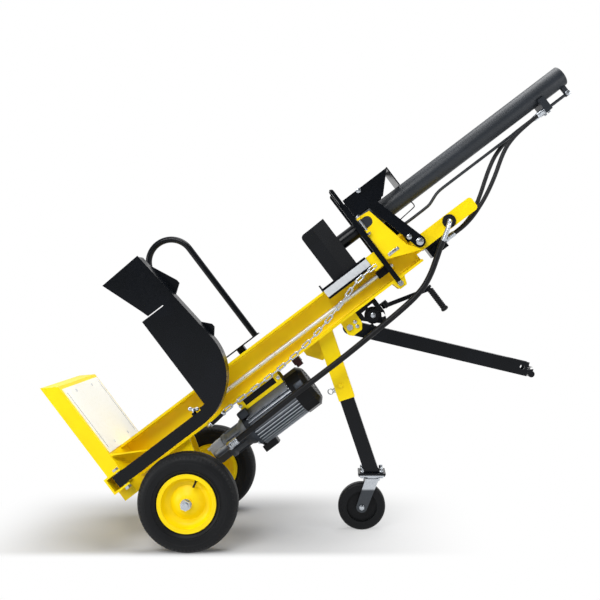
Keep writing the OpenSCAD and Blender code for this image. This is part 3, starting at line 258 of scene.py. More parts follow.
def between_fins(tree, place):
    """The distance to the motor's axis, from the roots of the fins, which get painted shade, to their tips."""
    axis = on_mast(MOTOR_UP, 0, MOTOR_OUT)
    arm = add_node(tree, "VectorMath", {0: place, 1: axis}, operation="SUBTRACT")
    off = add_node(tree, "VectorMath", {0: arm.outputs[0], 1: UP_MAST}, operation="CROSS_PRODUCT")
    away = add_node(tree, "VectorMath", {0: off.outputs[0]}, operation="LENGTH")
    return away.outputs["Value"], FIN_ROOT, FIN_TIP, 0.85


def under_pump(tree, place):
    """How far out on the mast, from the lower half of the pump, which is painted in shade, to the upper."""
    out = add_node(tree, "VectorMath", {0: place, 1: OUT_FRONT}, operation="DOT_PRODUCT")
    return out.outputs["Value"], PUMP_SHADE_TOP - 0.009, PUMP_SHADE_TOP + 0.009, 0.95


def dark_reflection_below(tree, place):
    """The height above the floor, from the lower half of the fork, which carries a painted dark reflection, to
    its crown.
    """
    height = add_node(tree, "SeparateXYZ", {0: place}).outputs["Z"]
    return height, FORK_REFLECTION_TOP - 0.004, FORK_REFLECTION_TOP + 0.004, 0.92


# The fins' roots get painted shade, the dark of the recesses between them.
FINNED_ALLOY = bare_metal(
    "finned_aluminium", "#D6DBE1", "#B2B8C0", 0.42, 14, 1.2, 0.2, 0.8, ("#565B62", between_fins)
)
# The lower halves of the pump and of its bell are painted in shade.
CAST_ALLOY = bare_metal(
    "cast_aluminium", "#D2D8E2", "#AEB4BE", 0.42, 14, 1.2, 0.25, 1.0, ("#33373D", under_pump), 0.4
)
BELL_CASTING = bare_metal(
    "bell_casting", "#80868F", "#686E77", 0.5, 18, 1.4, 0.3, 1.2, ("#2E3237", under_pump), 0.3
)
# The fork's lower half carries a painted dark reflection.
FORK_ZINC = bare_metal(
    "zinc_plate_dark_reflection", "#D6DBE0", "#B4BAC2", 0.32, 6, 0.8, 0.05, 0.6, ("#2B2F34", dark_reflection_below)
)
print("soiled metals:", FINNED_ALLOY.name, CAST_ALLOY.name, BELL_CASTING.name, FORK_ZINC.name)

# %% [markdown]
# ## Rubber, plastic and the pale plate
# Tyres and hoses are carbon-black rubber: dark, matt, with a dry bloom that greys it in patches. Housings such
# as the fan's cover are moulded ABS with a spark-eroded grain of about a millimetre. The plate that logs stand
# on has a pale coat that scuffs along the way a log is pushed.


# %% Rubber and moulded plastic
def moulded(name, colour, bloom, rough, sheen, patch_mm, grain_mm, depth):
    """Rubber or plastic from a mould: colour, bloom, roughness, specular level and the mould's grain."""
    finish, tree, shader, place = blank_finish(name, {"IOR": 1.52, "Specular IOR Level": sheen})
    skin(tree, shader, place, patch_mm, 6.0, (colour, bloom), (rough - 0.1, rough + 0.1))
    relief(tree, shader, place, grain_mm, 3.0, depth, 0.5, 1.0)
    return finish


TYRE_RUBBER = moulded("tyre_rubber", "#090A0C", "#131518", 0.5, 0.2, 40, 2.0, 0.2)
HOSE_RUBBER = moulded("hose_end_rubber", "#0E0F11", "#1A1B1E", 0.5, 0.18, 20, 1.2, 0.3)
MOULDED_ABS = moulded("moulded_black_abs", "#0A0B0D", "#121417", 0.4, 0.18, 60, 1.0, 0.2)
FAN_ABS = moulded("glossy_black_abs", "#090A0C", "#101215", 0.32, 0.14, 60, 1.6, 0.06)
INLET_ABS = moulded("moulded_red_brown_abs", "#2A1013", "#3A1518", 0.4, 0.2, 40, 1.0, 0.15)
print("moulded:", TYRE_RUBBER.name, HOSE_RUBBER.name, MOULDED_ABS.name, FAN_ABS.name, INLET_ABS.name)

# %% The pale wear plate
SCUFF_WIDTH, SCUFF_LENGTH = 6, 140
PALE_COAT, tree, shader, place = blank_finish("pale_wear_coat", {"Roughness": 0.5})
stretch = (per_mm(SCUFF_WIDTH), per_mm(SCUFF_WIDTH), per_mm(SCUFF_LENGTH))
turn = add_node(tree, "Mapping", {"Vector": place, "Rotation": (0, MAST_LEAN, 0), "Scale": stretch})
# The mapping has already set the scuffs' size, so the pattern itself stays at a metre.
skin(tree, shader, turn.outputs[0], 1000, 5.0, ("#FBFAF4", "#F0ECE0"), ramp=(0.5, 0.85))
relief(tree, shader, turn.outputs[0], 1000, 5.0, 0.06, 0.4, 0.8)
print("pale coat:", PALE_COAT.name)

# %% [markdown]
# ## Finish every node
# Each piece of the CAD frame takes the finish of the real part. A node keeps its mesh and only its
# material changes.

# %% Give each node its finish
FINISH_OF = {
    YELLOW_COAT: "beam base_pan axle_brackets lifter_ears head_cheeks top_cover stop_blocks lever_ears "
    "motor_rail leg_sleeve tow_bracket rim_near rim_far",
    BLACK_COAT: "hoop_guard guard_plates valve_body rod_guides winch_frame winch_lever wedge carriage_plate "
    "keeper_plates lifter_bar lifter_plate leg_tube tow_bar control_lever_near control_lever_far",
    RAM_ENAMEL: "barrel end_cap port_block steel_pipe",
    ZINC: "axle axle_nuts pivot_bolts keeper_bolts leg_clamp lift_chain pressure_elbow",
    PALE_GALVANISED: "gib_bars stroke_rod",
    GROUND_STEEL: "gland piston_rod piston",
    CAST_ALLOY: "gear_pump",
    FINNED_ALLOY: "motor_housing",
    FORK_ZINC: "caster_fork",
    BELL_CASTING: "pump_bell",
    BLACK_CASTING: "motor_flange",
    MOULDED_ABS: "terminal_box",
    FAN_ABS: "fan_cover",
    INLET_ABS: "power_inlet",
    HOSE_RUBBER: "pipe_grommet pressure_hose upper_hose_near upper_hose_far",
    TYRE_RUBBER: "tyre_near tyre_far caster_wheel",
    PALE_COAT: "wear_plate",
}
finished = 0
for finish, names in FINISH_OF.items():
    for name in names.split():
        slots = NODES[name].data.materials
        slots.clear()
        slots.append(finish)
        finished += 1
print("finished nodes:", finished, "of", len(NODES))

# %% [markdown]
# ## Working by hand
# New pieces start from a primitive at its real size, are shaped in edit mode, and are then carried to their
# place. Their place is applied to the mesh, so each object stays at the origin as a CAD node does, and a
# pattern on it doesn't slide.


# %% Helpers for choosing, carrying and fitting pieces
def pick(piece, *others):
    """Makes these pieces the only ones that operators act on, and the first the active one."""
    bpy.ops.object.select_all(action="DESELECT")
    bpy.context.view_layer.objects.active = piece
    for chosen in (piece, *others):
        chosen.select_set(True)


def join(pieces, name):
    """Joins pieces into one mesh under this name."""
    pick(*pieces)
    bpy.ops.object.join()
    pieces[0].name = name
    pieces[0].data.name = name
    return pieces[0]


def apply_place(piece):
    pick(piece)
    bpy.ops.object.transform_apply(location=True, rotation=True, scale=True)


def carry(piece, place):
    """Takes a piece to a place and applies it to the mesh."""
    piece.matrix_world = place
    apply_place(piece)
    return piece


def copy_at(piece, place):
    """A copy with its own mesh, carried to a place."""
    twin = piece.copy()
    twin.data = piece.data.copy()
    add_to_scene(twin)
    return carry(twin, place)


def discard(piece):
    bpy.data.objects.remove(piece, do_unlink=True)


def fit(piece, body, finish, smooth=35):
    """Rounds the shading, gives the finish and lets the piece ride on a body."""
    pick(piece)
    bpy.ops.object.shade_smooth_by_angle(angle=radians(smooth))
    piece.data.materials.clear()
    piece.data.materials.append(finish)
    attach(piece, body)
    print(piece.name, "rides on", body, "with", len(piece.data.polygons), "faces")


def facing(place, direction):
    """A place whose own z axis points along the direction."""
    turn = direction.normalized().to_track_quat("Z", "Y").to_matrix().to_4x4()
    return Matrix.Translation(place) @ turn


print("pieces can be carried and fitted")


# %% Helpers for shaping, in millimetres
def edit_mode(on):
    bpy.ops.object.mode_set(mode="EDIT" if on else "OBJECT")


def round_edges(offset, segments):
    """Bevels every edge of the active piece, and leaves edit mode."""
    edit_mode(True)
    bpy.ops.mesh.select_all(action="SELECT")
    bpy.ops.mesh.bevel(offset=offset * MM, segments=segments, affect="EDGES")
    edit_mode(False)


def edit_parts(piece, chosen, kind="FACE"):
    """Opens the active piece in edit mode, with the faces or edges selected that the test chooses."""
    edit_mode(True)
    bpy.ops.mesh.select_all(action="DESELECT")
    bpy.ops.mesh.select_mode(type=kind)
    edit_mode(False)
    for part in piece.data.polygons if kind == "FACE" else piece.data.edges:
        part.select = chosen(part)
    edit_mode(True)


def cube(size):
    """A block of this size about the origin."""
    bpy.ops.mesh.primitive_cube_add(size=1, location=(0, 0, 0))
    block = bpy.context.active_object
    block.scale = [length * MM for length in size]
    apply_place(block)
    return block


def cylinder(sides, radius, low, high):
    """A cylinder or a many-sided prism about z, between two heights."""
    bpy.ops.mesh.primitive_cylinder_add(
        vertices=sides, radius=radius * MM, depth=(high - low) * MM, location=(0, 0, (low + high) / 2 * MM)
    )
    return bpy.context.active_object


def rounded_cylinder(sides, radius, low, high, edge, segments):
    """A cylinder whose edges are bevelled, such as a nut or a washer."""
    piece = cylinder(sides, radius, low, high)
    round_edges(edge, segments)
    apply_place(piece)
    return piece


def draw_tube(name, path, radius, sides=5, swell=None):
    """A round tube along the path, as a mesh with its own UV map. Its radius may swell from point to point."""
    line = bpy.data.curves.new(name, "CURVE")
    line.dimensions = "3D"
    line.bevel_depth = radius * MM
    line.bevel_resolution = sides
    line.use_fill_caps = True
    spline = line.splines.new("POLY")
    spline.points.add(len(path) - 1)
    for k, (point, place) in enumerate(zip(spline.points, path)):
        point.co = (*place, 1)
        point.radius = swell[k % len(swell)] if swell else 1.0
    tube = bpy.data.objects.new(name, line)
    add_to_scene(tube)
    pick(tube)
    bpy.ops.object.convert(target="MESH")
    return bpy.context.view_layer.objects.active


print("blocks, cylinders and tubes can be made")

# %% [markdown]
# ## The hoses
# A long hydraulic hose carries oil from the pump up past the winch to the valve, and two shorter ones rise from
# the valve to the block near the ram's end. Such a hose is stiff: it leaves its fitting straight and then bends
# slowly. Each is drawn as a curve through its real route and turned into a mesh, so that its cover can carry
# the spiral mark of the cloth that wraps it while it is cured.

# %% Routes, in millimetres up, across and out
PRESSURE_ROUTE = [
    (440, -116, -272), (520, -116, -272), (600, -117, -270), (690, -118, -268), (780, -118, -266),
    (870, -118, -266), (960, -118, -266), (1050, -118, -265), (1140, -118, -262), (1220, -118, -259),
    (1290, -118, -256), (1350, -118, -252), (1405, -118, -246), (1460, -118, -234), (1514, -117, -210),
    (1564, -116, -179), (1607, -116, -150), (1637, -116, -132),
]
NEAR_ROUTE = [
    (1672, -136), (1715, -138), (1760, -137), (1810, -128), (1862, -111), (1912, -90), (1960, -65),
    (2002, -40), (2040, -15), (2075, 6), (2110, 22), (2150, 33), (2190, 39), (2240, 43), (2280, 45),
    (2318, 45),
]
FAR_ROUTE = [
    (1672, -136), (1715, -138), (1770, -135), (1824, -120), (1869, -96), (1912, -69), (1957, -38),
    (2000, -10), (2044, 14), (2084, 29), (2123, 39), (2170, 44), (2220, 45), (2270, 45), (2318, 45),
]
NEAR_ACROSS, FAR_ACROSS = -30, 25
HOSES = {
    "pressure_hose": (PRESSURE_ROUTE, 25),
    "upper_hose_near": ([(up, NEAR_ACROSS, out) for up, out in NEAR_ROUTE], 18),
    "upper_hose_far": ([(up, FAR_ACROSS, out) for up, out in FAR_ROUTE], 18),
}


def smooth_route(places, cuts):
    """Points on the smooth curve through these places on the mast, given in millimetres."""
    points = [on_mast(*place) for place in places]
    path = []
    for i in range(len(points) - 1):
        a, b = points[max(i - 1, 0)], points[i]
        c, d = points[i + 1], points[min(i + 2, len(points) - 1)]
        for k in range(cuts):
            t = k / cuts
            bend = 2 * b + (c - a) * t + (2 * a - 5 * b + 4 * c - d) * t**2
            path.append(0.5 * (bend + (3 * b - a - 3 * c + d) * t**3))
    return path + [points[-1]]


print("hoses:", ", ".join(HOSES))


# %% The hose's cover
def hose_cover_finish(name, fresh, bloomed):
    """Rubber cover with the spiral print of its curing cloth, along the hose's own UV map."""
    finish, tree, shader, place = blank_finish(name, {"Roughness": 0.42, "Specular IOR Level": 0.22})
    skin(tree, shader, place, 30, 5.0, (fresh, bloomed))
    along = add_node(tree, "UVMap", uv_map="UVMap").outputs[0]
    turn = add_node(tree, "Mapping", {"Vector": along, "Rotation": (0, 0, radians(20))})
    spiral = {"Vector": turn.outputs[0], "Scale": 14.0, "Distortion": 0.6, "Detail": 2.0}
    wrap = add_node(tree, "TexWave", spiral)
    bump = add_node(tree, "Bump", {"Height": wrap.outputs["Fac"], "Strength": 0.12, "Distance": 0.6 * MM})
    tree.links.new(bump.outputs[0], shader.inputs["Normal"])
    return finish


DARK_COVER = hose_cover_finish("dark_hose_cover", "#0B0C0E", "#151619")
# The upper hoses' cover is a lighter copy of the dark one: its lighter colour is a painted sheen.
SHEEN_LIT_COVER = hose_cover_finish("sheen_lit_hose_cover", "#17181B", "#26272A")
print("hose covers:", DARK_COVER.name, SHEEN_LIT_COVER.name)


for name, (route, thick) in HOSES.items():
    path = smooth_route(route, 4)
    tube = draw_tube(name + "_cover", path, thick / 2)
    fit(tube, "mast", DARK_COVER if name == "pressure_hose" else SHEEN_LIT_COVER, 50)
    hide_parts(name)

# %% [markdown]
# ## Hexagon screws
# Most of the machine is held by zinc-plated M10 hexagon screws on washers. One of each size is modelled: a
# six-sided cylinder with bevelled edges, and a washer under it. Its copies go wherever a screw shows.


# %% Model the hexagon screws
def hexagon_screw(flats, head, washer_r):
    """A screw head with its washer, standing on z = 0, in millimetres."""
    washer_t = 2
    hexagon = rounded_cylinder(6, flats / sqrt(3), washer_t, head + washer_t, 0.7, 2)
    washer = rounded_cylinder(32, washer_r, 0, washer_t, 0.5, 2)
    return join([hexagon, washer], "hexagon_screw")


def both_sides(screw, up, across, out, way=None):
    """A screw on the near and one on the far side of the mast, facing outwards if nothing else is said."""
    return [copy_at(screw, facing(on_mast(up, side * across, out), way or away)) for side, away in SIDES]


screw_m8 = hexagon_screw(13, 5.5, 8)
screw_m10 = hexagon_screw(17, 7, 11)
screw_m14 = hexagon_screw(22, 9, 16)
print("screws: M8, M10 and M14")

# %% Set the frame's screws
GUARD_UP, GUARD_FACE, GUARD_OUT = 1564, 92, -77
KEEPER_UP, KEEPER_ACROSS, KEEPER_OUT = 1419, 96, 155
RAIL_ENDS, RAIL_FACE, RAIL_OUT = (556, 752), 56, -172
TOW_UP, TOW_FACE, TOW_OUT, TOW_HOLES = 1117, 39, -187, 32
TOW_TURNS = (radians(28), radians(-10))
RAM_END, PORT_UP, PORT_OUT = (2452, -12.4, 45), 2334, 32
screws = both_sides(screw_m14, GUARD_UP, GUARD_FACE, GUARD_OUT)
screws += both_sides(screw_m10, GUARD_UP - 24, GUARD_FACE, GUARD_OUT + 42)
screws += both_sides(screw_m10, 1488, GUARD_FACE, 245)
screws += both_sides(screw_m10, KEEPER_UP, KEEPER_ACROSS, KEEPER_OUT, OUT_FRONT)
for up in RAIL_ENDS:
    screws += both_sides(screw_m8, up, RAIL_FACE, RAIL_OUT)
for turn in TOW_TURNS:
    up, out = TOW_UP + TOW_HOLES * cos(turn), TOW_OUT - TOW_HOLES * sin(turn)
    screws += both_sides(screw_m8, up, TOW_FACE, out)
screws.append(copy_at(screw_m10, facing(on_mast(*RAM_END), NEAR)))
for across in (NEAR_ACROSS, FAR_ACROSS):
    screws.append(copy_at(screw_m8, facing(on_mast(PORT_UP, across, PORT_OUT), -OUT_FRONT)))
fit(join(screws, "frame_screws"), "mast", ZINC)
discard(screw_m14)

# %% Screws round the motor's flange
FLANGE_UP, FLANGE_RING = 531, 86
flange_screws = []
for turn in (45, 135, 225, 315):
    across = FLANGE_RING * cos(radians(turn))
    out = MOTOR_OUT + FLANGE_RING * sin(radians(turn))
    flange_screws.append(copy_at(screw_m8, facing(on_mast(FLANGE_UP, across, out), -UP_MAST)))
fit(join(flange_screws, "flange_screws"), "mast", ZINC)

# %% [markdown]
# ## Countersunk screws in the wear plate
# The plate that the log stands on is held by four flat-headed screws. Each shows as a bright disc with a
# round recess, set level with the plate. A groove runs along each side of the plate, and a dark strip of
# painted
# shade lies in it: a cube drawn out to the groove's length, with its edges bevelled.

# %% Model the wear plate's screws
PLATE_TOP, SCREWS_ACROSS, SCREWS_OUT = 64.2, (-96, 96), (30, 290)
flat_screw = cylinder(32, 6, -0.4, 0.4)
edit_parts(flat_screw, lambda face: face.normal.z > 0.9)
bpy.ops.mesh.inset(thickness=1.2 * MM, depth=0)
bpy.ops.mesh.inset(thickness=1.6 * MM, depth=-0.6 * MM)
edit_mode(False)
flat_screws = [
    copy_at(flat_screw, facing(on_mast(PLATE_TOP, across, out), UP_MAST))
    for across in SCREWS_ACROSS
    for out in SCREWS_OUT
]
discard(flat_screw)
fit(join(flat_screws, "wear_plate_screws"), "mast", ZINC)

# %% Lay dark strips of painted shade in the plate's grooves
GROOVE_UP, GROOVE_ACROSS, GROOVE_MID = 62.7, 191.5, 158
# A dark strip stands for the painted shade in each groove.
groove_shade = cube((1.4, 4.4, 274))
round_edges(0.4, 2)
groove_shades = []
for side in (-1, 1):
    groove = Matrix.Translation(Vector((GROOVE_UP, side * GROOVE_ACROSS, GROOVE_MID)) * MM)
    groove_shades.append(copy_at(groove_shade, MAST_PLACE @ groove))
discard(groove_shade)
fit(join(groove_shades, "wear_plate_groove_shade"), "mast", HOSE_RUBBER)

# %% [markdown]
# ## Turned parts
# Many parts here are turned, moulded or pressed round an axis: tyres, valve stems, ferrules, knobs. For each
# the outline is drawn as a few points, a radius and a height, and spun round its axis. Doubles are then merged
# and the faces made to point outwards.


# %% Spin a turned part from its outline
def turned(name, outline, steps=24):
    """A solid of revolution about z from (radius, height) points in millimetres."""
    mesh = bpy.data.meshes.new(name)
    points = [(r * MM, 0, z * MM) for r, z in outline]
    mesh.from_pydata(points, [(i, i + 1) for i in range(len(points) - 1)], [])
    piece = bpy.data.objects.new(name, mesh)
    add_to_scene(piece)
    pick(piece)
    edit_mode(True)
    bpy.ops.mesh.select_all(action="SELECT")
    bpy.ops.mesh.spin(steps=steps, angle=2 * pi, center=(0, 0, 0), axis=(0, 0, 1))
    bpy.ops.mesh.select_all(action="SELECT")
    bpy.ops.mesh.remove_doubles(threshold=0.00001)
    bpy.ops.mesh.normals_make_consistent(inside=False)
    edit_mode(False)
    return piece


print("outlines can be spun")

# %% [markdown]
# ## Tyres
# The tyres are small pneumatic ones: a round section that bulges over the rim, running grooves, fine blocks on
# the shoulders and moulded rings on the sidewall. The CAD tyre has the size and a plainer section. The section
# here is a squared oval drawn by its sine and cosine, with the grooves let into its crown. One shoulder block
# is modelled, tapered and bevelled, and its copies are set round both shoulders.

# %% Draw the tyre's section
TYRE_MID = 285
TYRE_R, TYRE_HALF, OVAL_R = 195, 47.5, 152
BEAD_R, BEAD_HALF, LIP_R = 102, 33.5, 117
GROOVES, GROOVE_HALF, GROOVE_DEEP = (-24, -8, 8, 24), 1.8, 3.5
OVAL_STEPS = 45


def oval(turn):
    """Radius and height of the section at a turn from its crown, in radians."""
    lift, side = abs(cos(turn)) ** 0.8, abs(sin(turn)) ** 0.8
    return OVAL_R + (TYRE_R - OVAL_R) * lift, copysign(TYRE_HALF * side, turn)


foot = [(BEAD_R, -BEAD_HALF), (LIP_R + 0.5, -BEAD_HALF), (LIP_R + 3, -37), (LIP_R + 10, -42), (LIP_R + 22, -46)]
crown = []
for k in range(-OVAL_STEPS, OVAL_STEPS + 1):
    radius, height = oval(radians(90 * k / OVAL_STEPS))
    sunk = any(abs(height - groove) < GROOVE_HALF for groove in GROOVES)
    crown.append((radius - (GROOVE_DEEP if sunk else 0), height))
section = foot + crown + [(r, -z) for r, z in reversed(foot)] + foot[:1]
print("tyre section:", len(section), "points")

# %% Model one shoulder block
block = cube((8.6, 15, 4))
edit_parts(block, lambda face: face.normal.z > 0.9)
bpy.ops.transform.resize(value=(0.72, 0.8, 1))
round_edges(0.6, 1)
print("shoulder block:", len(block.data.polygons), "faces")

# %% Mould both tyres
WHEELS = ((-1, NEAR, "near"), (1, FAR, "far"))
BLOCKS, BLOCK_SUNK = 72, 0.9
SHOULDER_TURN = radians(50)
SIDE_RINGS = ((130, 43.8), (136, 45.2), (158, 46.9))
shoulder_r, shoulder_y = oval(SHOULDER_TURN)
ahead, behind = oval(SHOULDER_TURN + 0.05), oval(SHOULDER_TURN - 0.05)
slant = Vector((ahead[1] - behind[1], behind[0] - ahead[0])).normalized()
carcass = turned("tyre_form", section, 120)


def shoulder_place(centre, face, angle):
    """The place of a block on one shoulder, at an angle round the wheel."""
    spoke = Vector((cos(angle), 0, sin(angle)))
    out = spoke * slant.x + Vector((0, face * slant.y, 0))
    place = centre + spoke * shoulder_r * MM + Vector((0, face * shoulder_y * MM, 0)) - out * BLOCK_SUNK * MM
    along = spoke.cross(FAR)
    return Matrix.Translation(place) @ Matrix((along, out.cross(along), out)).transposed().to_4x4()


for side, way, which in WHEELS:
    centre = AXLE + Vector((0, side * TYRE_MID * MM, 0))
    tread = [copy_at(carcass, facing(centre, FAR))]
    for face in (-1, 1):
        for k in range(BLOCKS):
            angle = 2 * pi * (k + (0.5 if face > 0 else 0)) / BLOCKS
            tread.append(copy_at(block, shoulder_place(centre, face, angle)))
        for radius, across in SIDE_RINGS:
            bpy.ops.mesh.primitive_torus_add(
                major_radius=radius * MM,
                minor_radius=1.3 * MM,
                major_segments=96,
                minor_segments=8,
                location=centre + Vector((0, face * across * MM, 0)),
                rotation=(radians(90), 0, 0),
            )
            ring = bpy.context.active_object
            apply_place(ring)
            tread.append(ring)
    tyre = join(tread, "tyre_" + which + "_rubber")
    fit(tyre, "wheel_" + which, TYRE_RUBBER, 50)
    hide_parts("tyre_" + which)
discard(block)
discard(carcass)

# %% [markdown]
# ## The rim's pressed wall
# A pressed steel rim has no sharp corner between its well and its disc: the wall sweeps in from the lip and
# runs out into the disc. A thin turned shell gives each rim that sweep.

# %% Press the walls
WALL_T = 1.4
wall_outer = [(111, 38.6), (104, 37.4), (99, 33), (95.5, 25), (91, 16), (84, 10), (76, 7), (68, 7.6)]
wall_inner = [(r + WALL_T, z - WALL_T) for r, z in reversed(wall_outer)]
for side, way, which in WHEELS:
    wall = turned("rim_wall_" + which, wall_outer + wall_inner + wall_outer[:1], 96)
    carry(wall, facing(AXLE + Vector((0, side * TYRE_MID * MM, 0)), way))
    fit(wall, "wheel_" + which, YELLOW_COAT, 50)

# %% [markdown]
# ## Valve stems
# Each rim has a rubber snap-in valve that leans out of the rim's wall: a flared foot, a tapered stem and a cap.

# %% Turn the valve stems
STEM_R, STEM_OUT, STEM_LEAN = 93.5, 19, 0.55
STEM_TURN = radians(68)
stem_outline = [(0, 0), (8, 0), (7.4, 2), (5, 4), (4.3, 8), (3.6, 20)]
stem_outline += [(4.4, 20.4), (4.4, 29), (3.6, 30), (0, 30)]
spoke = Vector((cos(STEM_TURN), 0, sin(STEM_TURN)))
for side, way, which in WHEELS:
    foot = AXLE + spoke * STEM_R * MM + Vector((0, side * (TYRE_MID + STEM_OUT) * MM, 0))
    stem = turned("valve_stem_" + which, stem_outline)
    carry(stem, facing(foot, way * STEM_LEAN - spoke))
    fit(stem, "wheel_" + which, TYRE_RUBBER)

# %% [markdown]
# ## Hose fittings
# A hydraulic hose ends in a zinc ferrule, crimped on by jaws that leave rings, and a hexagon nut. The
# ferrule is turned from its outline, and the nut is a bevelled hexagon.


# %% Model the ferrules and set them on the hose ends
def ferrule(hose_d):
    """A crimped ferrule with its nut, along z from the hose's end back over the hose."""
    r, length = hose_d / 2, 36
    outline = [(r + 0.2, 0), (r + 2.6, 0)]
    for z in range(3, length - 8, 8):
        outline += [(r + 3.2, z), (r + 3.2, z + 4), (r + 2.2, z + 5), (r + 2.2, z + 7)]
    outline += [(r + 2.6, length), (r + 0.2, length), (r + 0.2, 0)]
    sleeve = turned("ferrule", outline, 32)
    return join([sleeve, rounded_cylinder(6, r + 5.5, -13, 1, 0.9, 2)], "ferrule")


ends = []
for name, (route, thick) in HOSES.items():
    first, last = on_mast(*route[0]), on_mast(*route[-1])
    model = ferrule(thick)
    ends.append(copy_at(model, facing(first, on_mast(*route[1]) - first)))
    if name != "pressure_hose":
        ends.append(copy_at(model, facing(last, on_mast(*route[-2]) - last)))
    discard(model)
fit(join(ends, "hose_fittings"), "mast", ZINC)

# %% [markdown]
# ## Welds
# The frame is welded, and a fillet weld shows as a row of overlapping scales, each about 3 mm long, where two
# plates meet. A bead is drawn as a round curve whose radius swells at every scale, and then turned into a mesh.
# It is painted over with the frame.


# %% Weld the frame
SCALE_MM, SCALE_DIP = 3.2, 0.78


def weld_bead(start, end, radius=3.0):
    """A rippled bead between two places on the mast, given in millimetres."""
    a, b = on_mast(*start), on_mast(*end)
    count = max(4, int((b - a).length / (SCALE_MM * MM)) * 2)
    path = [a.lerp(b, k / count) for k in range(count + 1)]
    return draw_tube("weld", path, radius, 1, (SCALE_DIP, 1.0))


BACK = -151
# How far up a seam starts and ends, and how far across it lies, along the back of the mast.
BACK_SEAMS = ((148, 296, 49), (1100, 1170, 40), (556, 754, 57), (984, 1048, 36))
welds = []
for side in (-1, 1):
    welds += [
        weld_bead((61, side * 212, -9.5), (61, side * 10, -106)),
        weld_bead((61, side * 216, -18), (61, side * 14, -115)),
        weld_bead((68, side * 5, -109), (174, side * 5, -109)),
        weld_bead((1409, side * 77, -50), (1409, side * 77, -4)),
        weld_bead((1384, side * 76, BACK), (1428, side * 76, BACK), 2.4),
    ]
    welds += [weld_bead((low, side * y, BACK), (high, side * y, BACK)) for low, high, y in BACK_SEAMS]
welds.append(weld_bead((1052.5, -34, BACK), (1052.5, 34, BACK)))
fit(join(welds, "frame_welds"), "mast", YELLOW_COAT, 60)

# %% [markdown]
# ## The lifter's wing bolt
# Near the bend of the log lifter a wing bolt clamps it for transport. It stands in a black welded boss. The
# bolt's hub is turned. One wing is a flattened ball, set beside the hub, and its copy is turned to the other
# side.

# %% Model the wing bolt
BOLT_UP, BOLT_ACROSS, BAR_FACE = 434, -258, -82
boss = turned("wing_bolt_boss", [(0, -3), (10, -3), (10, 8), (8.5, 10), (0, 10)])
carry(boss, facing(on_mast(BOLT_UP, BOLT_ACROSS, BAR_FACE), OUT_FRONT))
fit(boss, "lifter", BLACK_COAT)
hub = turned("hub_form", [(0, 0), (4, 0), (4, 6), (8, 7), (8.5, 12), (7, 17), (3, 19), (0, 19)])
bpy.ops.mesh.primitive_uv_sphere_add(segments=20, ring_count=12, radius=1, location=(0, 0, 0))
wing = bpy.context.active_object
wing.scale = (9 * MM, 2.6 * MM, 8 * MM)
wing.location = (13 * MM, 0, 15 * MM)
apply_place(wing)
wings = [copy_at(wing, Matrix.Rotation(turn, 4, "Z")) for turn in (0, pi)]
discard(wing)
bolt = join([hub] + wings, "wing_bolt")
carry(bolt, Matrix.Translation(on_mast(BOLT_UP, BOLT_ACROSS, BAR_FACE + 8)))
fit(bolt, "lifter", ZINC)

# %% [markdown]
# ## Winch details
# The hand winch under the mast is a worn black stamping with a ratchet: a toothed wheel on each end of the
# drum. The wheel starts as a cylinder with two faces to a tooth, and every second face is pushed out. The
# strap on the drum is turned with a ridge for each layer's edge, and the handle's grip ends in a turned cap.

# %% Model the ratchet wheels
DRUM_UP, DRUM_OUT = 1226, -206
ratchet = cylinder(36, 24, -3, 3)
rim_faces = [face for face in ratchet.data.polygons if abs(face.normal.z) < 0.5]
rim_faces.sort(key=lambda face: atan2(face.center.y, face.center.x))
teeth = {face.index for face in rim_faces[::2]}
edit_parts(ratchet, lambda face: face.index in teeth)
bpy.ops.mesh.extrude_faces_move(TRANSFORM_OT_shrink_fatten={"value": 5 * MM})
round_edges(0.5, 1)
wheels = [copy_at(ratchet, facing(on_mast(DRUM_UP, across, DRUM_OUT), FAR)) for across in (-33.5, 33.5)]
discard(ratchet)
fit(join(wheels, "winch_ratchet_wheels"), "mast", BLACK_COAT)

# %% Wind the strap
STRAP_HALF, CORE_R, STRAP_R, LAYERS = 17, 11, 35, 6
outline = [(CORE_R, -STRAP_HALF), (STRAP_R, -STRAP_HALF)]
for layer in range(LAYERS):
    low = 2 * STRAP_HALF * layer / LAYERS - STRAP_HALF
    outline += [(STRAP_R + 1.2, low + 0.8), (STRAP_R + 1.2, low + 4.9), (STRAP_R, low + 5.6)]
outline += [(STRAP_R, STRAP_HALF), (CORE_R, STRAP_HALF), (CORE_R, -STRAP_HALF)]
strap = turned("winch_strap_roll", outline, 48)
carry(strap, facing(on_mast(DRUM_UP, 0, DRUM_OUT), FAR))
fit(strap, "mast", HOSE_RUBBER)

# %% Bolt the winch together and cap its grip
WINCH_FACE, DRUM_END = 24, 36.5
WINCH_BOLTS = ((1178, -170), (1262, -166), (1266, -212), (1252, -246), (1196, -240))
frame_bolts = [bolt for up, out in WINCH_BOLTS for bolt in both_sides(screw_m8, up, WINCH_FACE, out)]
fit(join(frame_bolts, "winch_frame_bolts"), "mast", BLACK_COAT)
ARM, ARM_TILT, GRIP_LENGTH = 200, radians(16), 109
GRIP_UP = 1293 + ARM * cos(ARM_TILT)
GRIP_END = -204 - ARM * sin(ARM_TILT) - GRIP_LENGTH
cap_outline = [(0, 6), (14, 6), (16, 3), (16.4, -1), (15, -5), (10, -8), (0, -8.6)]
grip_end = turned("winch_grip_end", cap_outline, 32)
carry(grip_end, facing(on_mast(GRIP_UP, 0, GRIP_END), OUT_FRONT))
fit(grip_end, "ratchet", MOULDED_ABS)
drum_nuts = both_sides(screw_m10, DRUM_UP, DRUM_END, DRUM_OUT)
fit(join(drum_nuts, "winch_drum_nuts"), "mast", ZINC)

# %% [markdown]
# ## Wire and small plates
# A thin wire stay runs from the steel pipe to the ram by the head, and a zinc strip is screwed to each cheek.
# The stay is a tube along its path, and the strips are bevelled blocks.

